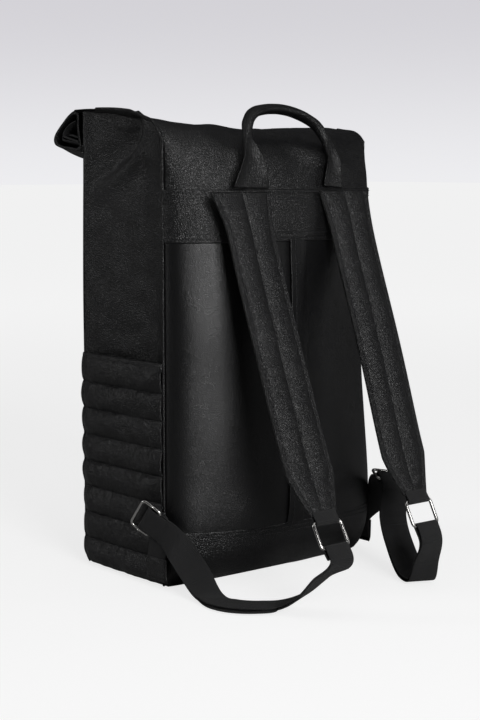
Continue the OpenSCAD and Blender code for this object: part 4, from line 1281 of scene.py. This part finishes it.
def makeWebbing(side):
    name = "Left" if side < 0 else "Right"
    low = name.lower()
    path, ways = webbingRoute(side)
    run = runOf(path)
    total = run[-1]
    along = unit(np.gradient(path, axis=0))
    flat = unit(ways - along * np.sum(ways * along, 1, keepdims=True))
    out = np.cross(along, flat)
    slack = webLook["pressed"]
    barGap = webLook["barGap"]
    gap = through([(0, barGap), (0.008, barGap * 0.9), (0.024, slack), (total * 0.35, slack * 1.1),
                   (total * 0.5, slack * 2.2), (total * 0.7, slack * 1.3), (total - 0.024, slack),
                   (total - 0.008, barGap * 0.9), (total, barGap)], run)
    layers = [path + out * gap[:, None], path - out * gap[:, None]]
    turn = np.linspace(0, math.pi, 14)[1:-1]

    def roundBar(index, sign):
        centre = path[index]
        return np.array([centre + gap[index] * (math.cos(a) * out[index] + sign * math.sin(a) * along[index])
                         for a in turn])

    nearSlider, nearRing = int(len(run) * 0.30), int(len(run) * 0.80)
    topLoop = np.concatenate([layers[0][:nearSlider + 1][::-1], roundBar(0, -1), layers[1][:nearSlider + 1]])
    topWays = np.concatenate([flat[:nearSlider + 1][::-1], np.tile(flat[0], (len(turn), 1)),
                              flat[:nearSlider + 1]])
    endLoop = np.concatenate([layers[0][nearRing:], roundBar(-1, 1), layers[1][nearRing:][::-1]])
    endWays = np.concatenate([flat[nearRing:], np.tile(flat[-1], (len(turn), 1)), flat[nearRing:][::-1]])
    between = slice(nearSlider, nearRing + 1)
    top = bandMesh("webbingTop" + name, [(topLoop, topWays)], finish["webbing"])
    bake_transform(top)
    bands = [(layer[between], flat[between]) for layer in layers]
    middle = bandMesh("webbingFloor" + name, bands, finish["webbing"])
    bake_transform(middle)
    end = bandMesh("webbingEnd" + name, [(endLoop, endWays)], finish["webbing"])
    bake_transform(end)
    # the single layer that goes on to the corner
    barCentre, barWay, downWay = sliderPlaces[side]
    anchorLow, anchorHigh = boxOf("anchor_" + low)
    inner = -np.cross(barWay, downWay)
    start = barCentre + (webLook["barGap"] + webLook["thick"] + 0.0002) * inner
    seat = (anchorLow + anchorHigh) / 2
    seat[0] = side * (min(abs(anchorLow[0]), abs(anchorHigh[0])) + 0.0006)
    seat = packed(seat)
    close = np.array([seat[0], seat[1], anchorHigh[2] + 0.002])
    if side < 0:
        points = [start - 0.010 * downWay, start, start + 0.014 * downWay,
                  close + np.array([0, -0.003, 0.012]), close]
        tailWays = [barWay, barWay, barWay, (0, 1, 0), (0, 1, 0)]
    else:
        points = [start + 0.010 * downWay, start, start - 0.014 * downWay + 0.003 * inner,
                  (start + close) / 2 + np.array([0.007, 0, 0.004]), close]
        tailWays = [barWay, barWay, barWay, (-0.3, 0.94, 0.1), (0, 1, 0)]
    points.append(np.array([seat[0], seat[1], anchorLow[2] + 0.004]))
    tailWays.append((0, 1, 0))
    line = pathThrough(np.concatenate([points, tailWays], 1), 70)
    tail = bandMesh("webbingTail" + name, [(line[:, :3], unit(line[:, 3:]))], finish["webbing"])
    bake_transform(tail)
    for piece in (top, middle, end, tail):
        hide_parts("webbing_" + low)
    # box of stitches under the ring, and the leather patch over the end at the corner
    rows = np.searchsorted(run, total - np.array([0.013, 0.019]))
    for row in rows:
        for sign in (1, -1):
            across = np.linspace(-0.013, 0.013, 12)[:, None]
            points = path[row] + flat[row] * across + out[row] * sign * (gap[row] + 0.0008)
            stitchAlong("strap_" + low, points)
    anchorPatch(side, low, anchorLow, anchorHigh)


def anchorPatch(side, low, lowest, highest):
    # leather patch over the webbing's end at the corner, pressed down round its edge
    y, z = np.meshgrid(np.linspace(lowest[1], highest[1], 36), np.linspace(lowest[2], highest[2], 28),
                       indexing="ij")
    inside = min(abs(lowest[0]), abs(highest[0]))
    rim = np.minimum(np.minimum(y - lowest[1], highest[1] - y), np.minimum(z - lowest[2], highest[2] - z))
    x = side * (inside + 0.0012 + 0.0016 * np.clip(rim / 0.005, 0, 1) ** 0.6)
    piece = sheetPiece("anchorPatch" + low.title(), packed(np.stack([x, y, z], -1)), 0.0014,
                       finish["grainLeather"], (0, -halfD, 0.03), rim=finish["edge"])
    rideOn(piece, "bag", "grain_leather", "anchor_" + low)
    inset = 0.0030
    corners = [(lowest[1] + inset, lowest[2] + inset), (highest[1] - inset, lowest[2] + inset),
               (highest[1] - inset, highest[2] - inset), (lowest[1] + inset, highest[2] - inset)]
    for a, b in zip(corners, corners[1:] + corners[:1]):
        line = np.linspace(a, b, 12)
        points = packed(np.column_stack([np.full(12, side * (inside + 0.0025)), line]))
        stitchAlong("bag", points)


def makeInside():
    levels = [(0.007, 0.92), (0.02, 0.97), (0.10, 1.0), (0.30, 0.985), (0.36, 0.93), (0.428, 0.88)]
    a = np.linspace(0, math.pi, 60)
    rings = []
    for z, share in levels:
        x = (halfW - 0.021) * share * np.cos(a)
        backY = -(halfD - 0.002) * share - (through(backKeys, z) - 0.014) * np.sin(a)
        frontY = (halfD - 0.012) * share + 0.004 * np.sin(a)
        rings.append(np.column_stack([np.concatenate([x, -x]), np.concatenate([backY, frontY]), np.full(120, z)]))
    lining = loftPiece("bagLining", np.array(rings), finish["lining"])
    rideOn(lining, "bag", "lining", "lining", "laptop_sleeve")
    for node in ("base_board", "back_foam", "roll_stiffener"):
        paint(node, "foam")
    paint("zip_pocket", "lining")
    for node in ("zip_slider", "zip_puller"):
        paint(node, "nickel")


stitchLook = {"pitch": 0.0036, "size": (0.0027, 0.00085, 0.0007)}


def stitchNodes():
    tree = bpy.data.node_groups.new("stitchRow", "GeometryNodeTree")
    face = tree.interface
    face.new_socket("Geometry", in_out="INPUT", socket_type="NodeSocketGeometry")
    sockets = {"pitch": face.new_socket("Pitch", in_out="INPUT", socket_type="NodeSocketFloat").identifier,
               "size": face.new_socket("Stitch size", in_out="INPUT", socket_type="NodeSocketVector").identifier,
               "material": face.new_socket("Material", in_out="INPUT", socket_type="NodeSocketMaterial").identifier}
    face.new_socket("Geometry", in_out="OUTPUT", socket_type="NodeSocketGeometry")
    given, out = tree.nodes.new("NodeGroupInput"), tree.nodes.new("NodeGroupOutput")
    toCurve = tree.nodes.new("GeometryNodeMeshToCurve")
    resample = addNode(tree, "GeometryNodeResampleCurve", mode="LENGTH")
    tangent = tree.nodes.new("GeometryNodeInputTangent")
    align = addNode(tree, "FunctionNodeAlignRotationToVector", axis="X")
    ball = tree.nodes.new("GeometryNodeMeshUVSphere")
    ball.inputs["Segments"].default_value = 7
    ball.inputs["Rings"].default_value = 5
    ball.inputs["Radius"].default_value = 0.5
    place = tree.nodes.new("GeometryNodeInstanceOnPoints")
    real = tree.nodes.new("GeometryNodeRealizeInstances")
    smooth = tree.nodes.new("GeometryNodeSetShadeSmooth")
    dress = tree.nodes.new("GeometryNodeSetMaterial")
    join(tree, (given.outputs["Geometry"], toCurve.inputs["Mesh"]),
         (toCurve.outputs["Curve"], resample.inputs["Curve"]), (given.outputs["Pitch"], resample.inputs["Length"]),
         (tangent.outputs[0], align.inputs["Vector"]),
         (resample.outputs["Curve"], place.inputs["Points"]), (ball.outputs["Mesh"], place.inputs["Instance"]),
         (align.outputs["Rotation"], place.inputs["Rotation"]), (given.outputs["Stitch size"], place.inputs["Scale"]),
         (place.outputs["Instances"], real.inputs["Geometry"]),
         (real.outputs["Geometry"], smooth.inputs["Geometry"]),
         (smooth.outputs["Geometry"], dress.inputs["Geometry"]),
         (given.outputs["Material"], dress.inputs["Material"]),
         (dress.outputs["Geometry"], out.inputs["Geometry"]))
    return tree, sockets


def makeStitches():
    tree, sockets = stitchNodes()
    for body, runs in stitchRuns.items():
        verts, edges = [], []
        for points in runs:
            start = len(verts)
            verts += points.tolist()
            edges += [(start + k, start + k + 1) for k in range(len(points) - 1)]
        mesh = bpy.data.meshes.new("stitchLines")
        mesh.from_pydata(verts, edges, [])
        lines = bpy.data.objects.new("stitchLines", mesh)
        bpy.context.scene.collection.objects.link(lines)
        modifier = lines.modifiers.new("stitches", "NODES")
        modifier.node_group = tree
        modifier[sockets["pitch"]] = stitchLook["pitch"]
        modifier[sockets["size"]] = stitchLook["size"]
        modifier[sockets["material"]] = finish["thread"]
        bpy.context.view_layer.update()
        plain = bpy.data.meshes.new_from_object(lines.evaluated_get(bpy.context.evaluated_depsgraph_get()))
        bpy.data.objects.remove(lines)
        item = bpy.data.objects.new("stitches_" + body, plain)
        bpy.context.scene.collection.objects.link(item)
        rideOn(item, body, "smooth_leather")
        print("stitches on", body, len(plain.polygons))


makeBack()
makeZip()
makeCollar()
for side in (-1, 1):
    makeGusset(side)
    makeSideQuilt(side)
makeFront()
makeFrontQuilt()
makePiping()
makeBase()
print("bag made")
makeRoll()
makeClosure()
makeHandle()
print("roll, tab and handle made")
ringPlaces, sliderPlaces = {}, {}
for side in (-1, 1):
    makeStrap(side)
    ringPlaces[side] = makeRing(side)
    sliderPlaces[side] = makeSlider(side)
    makeWebbing(side)
print("straps and webbing made")
makeInside()
makeStitches()
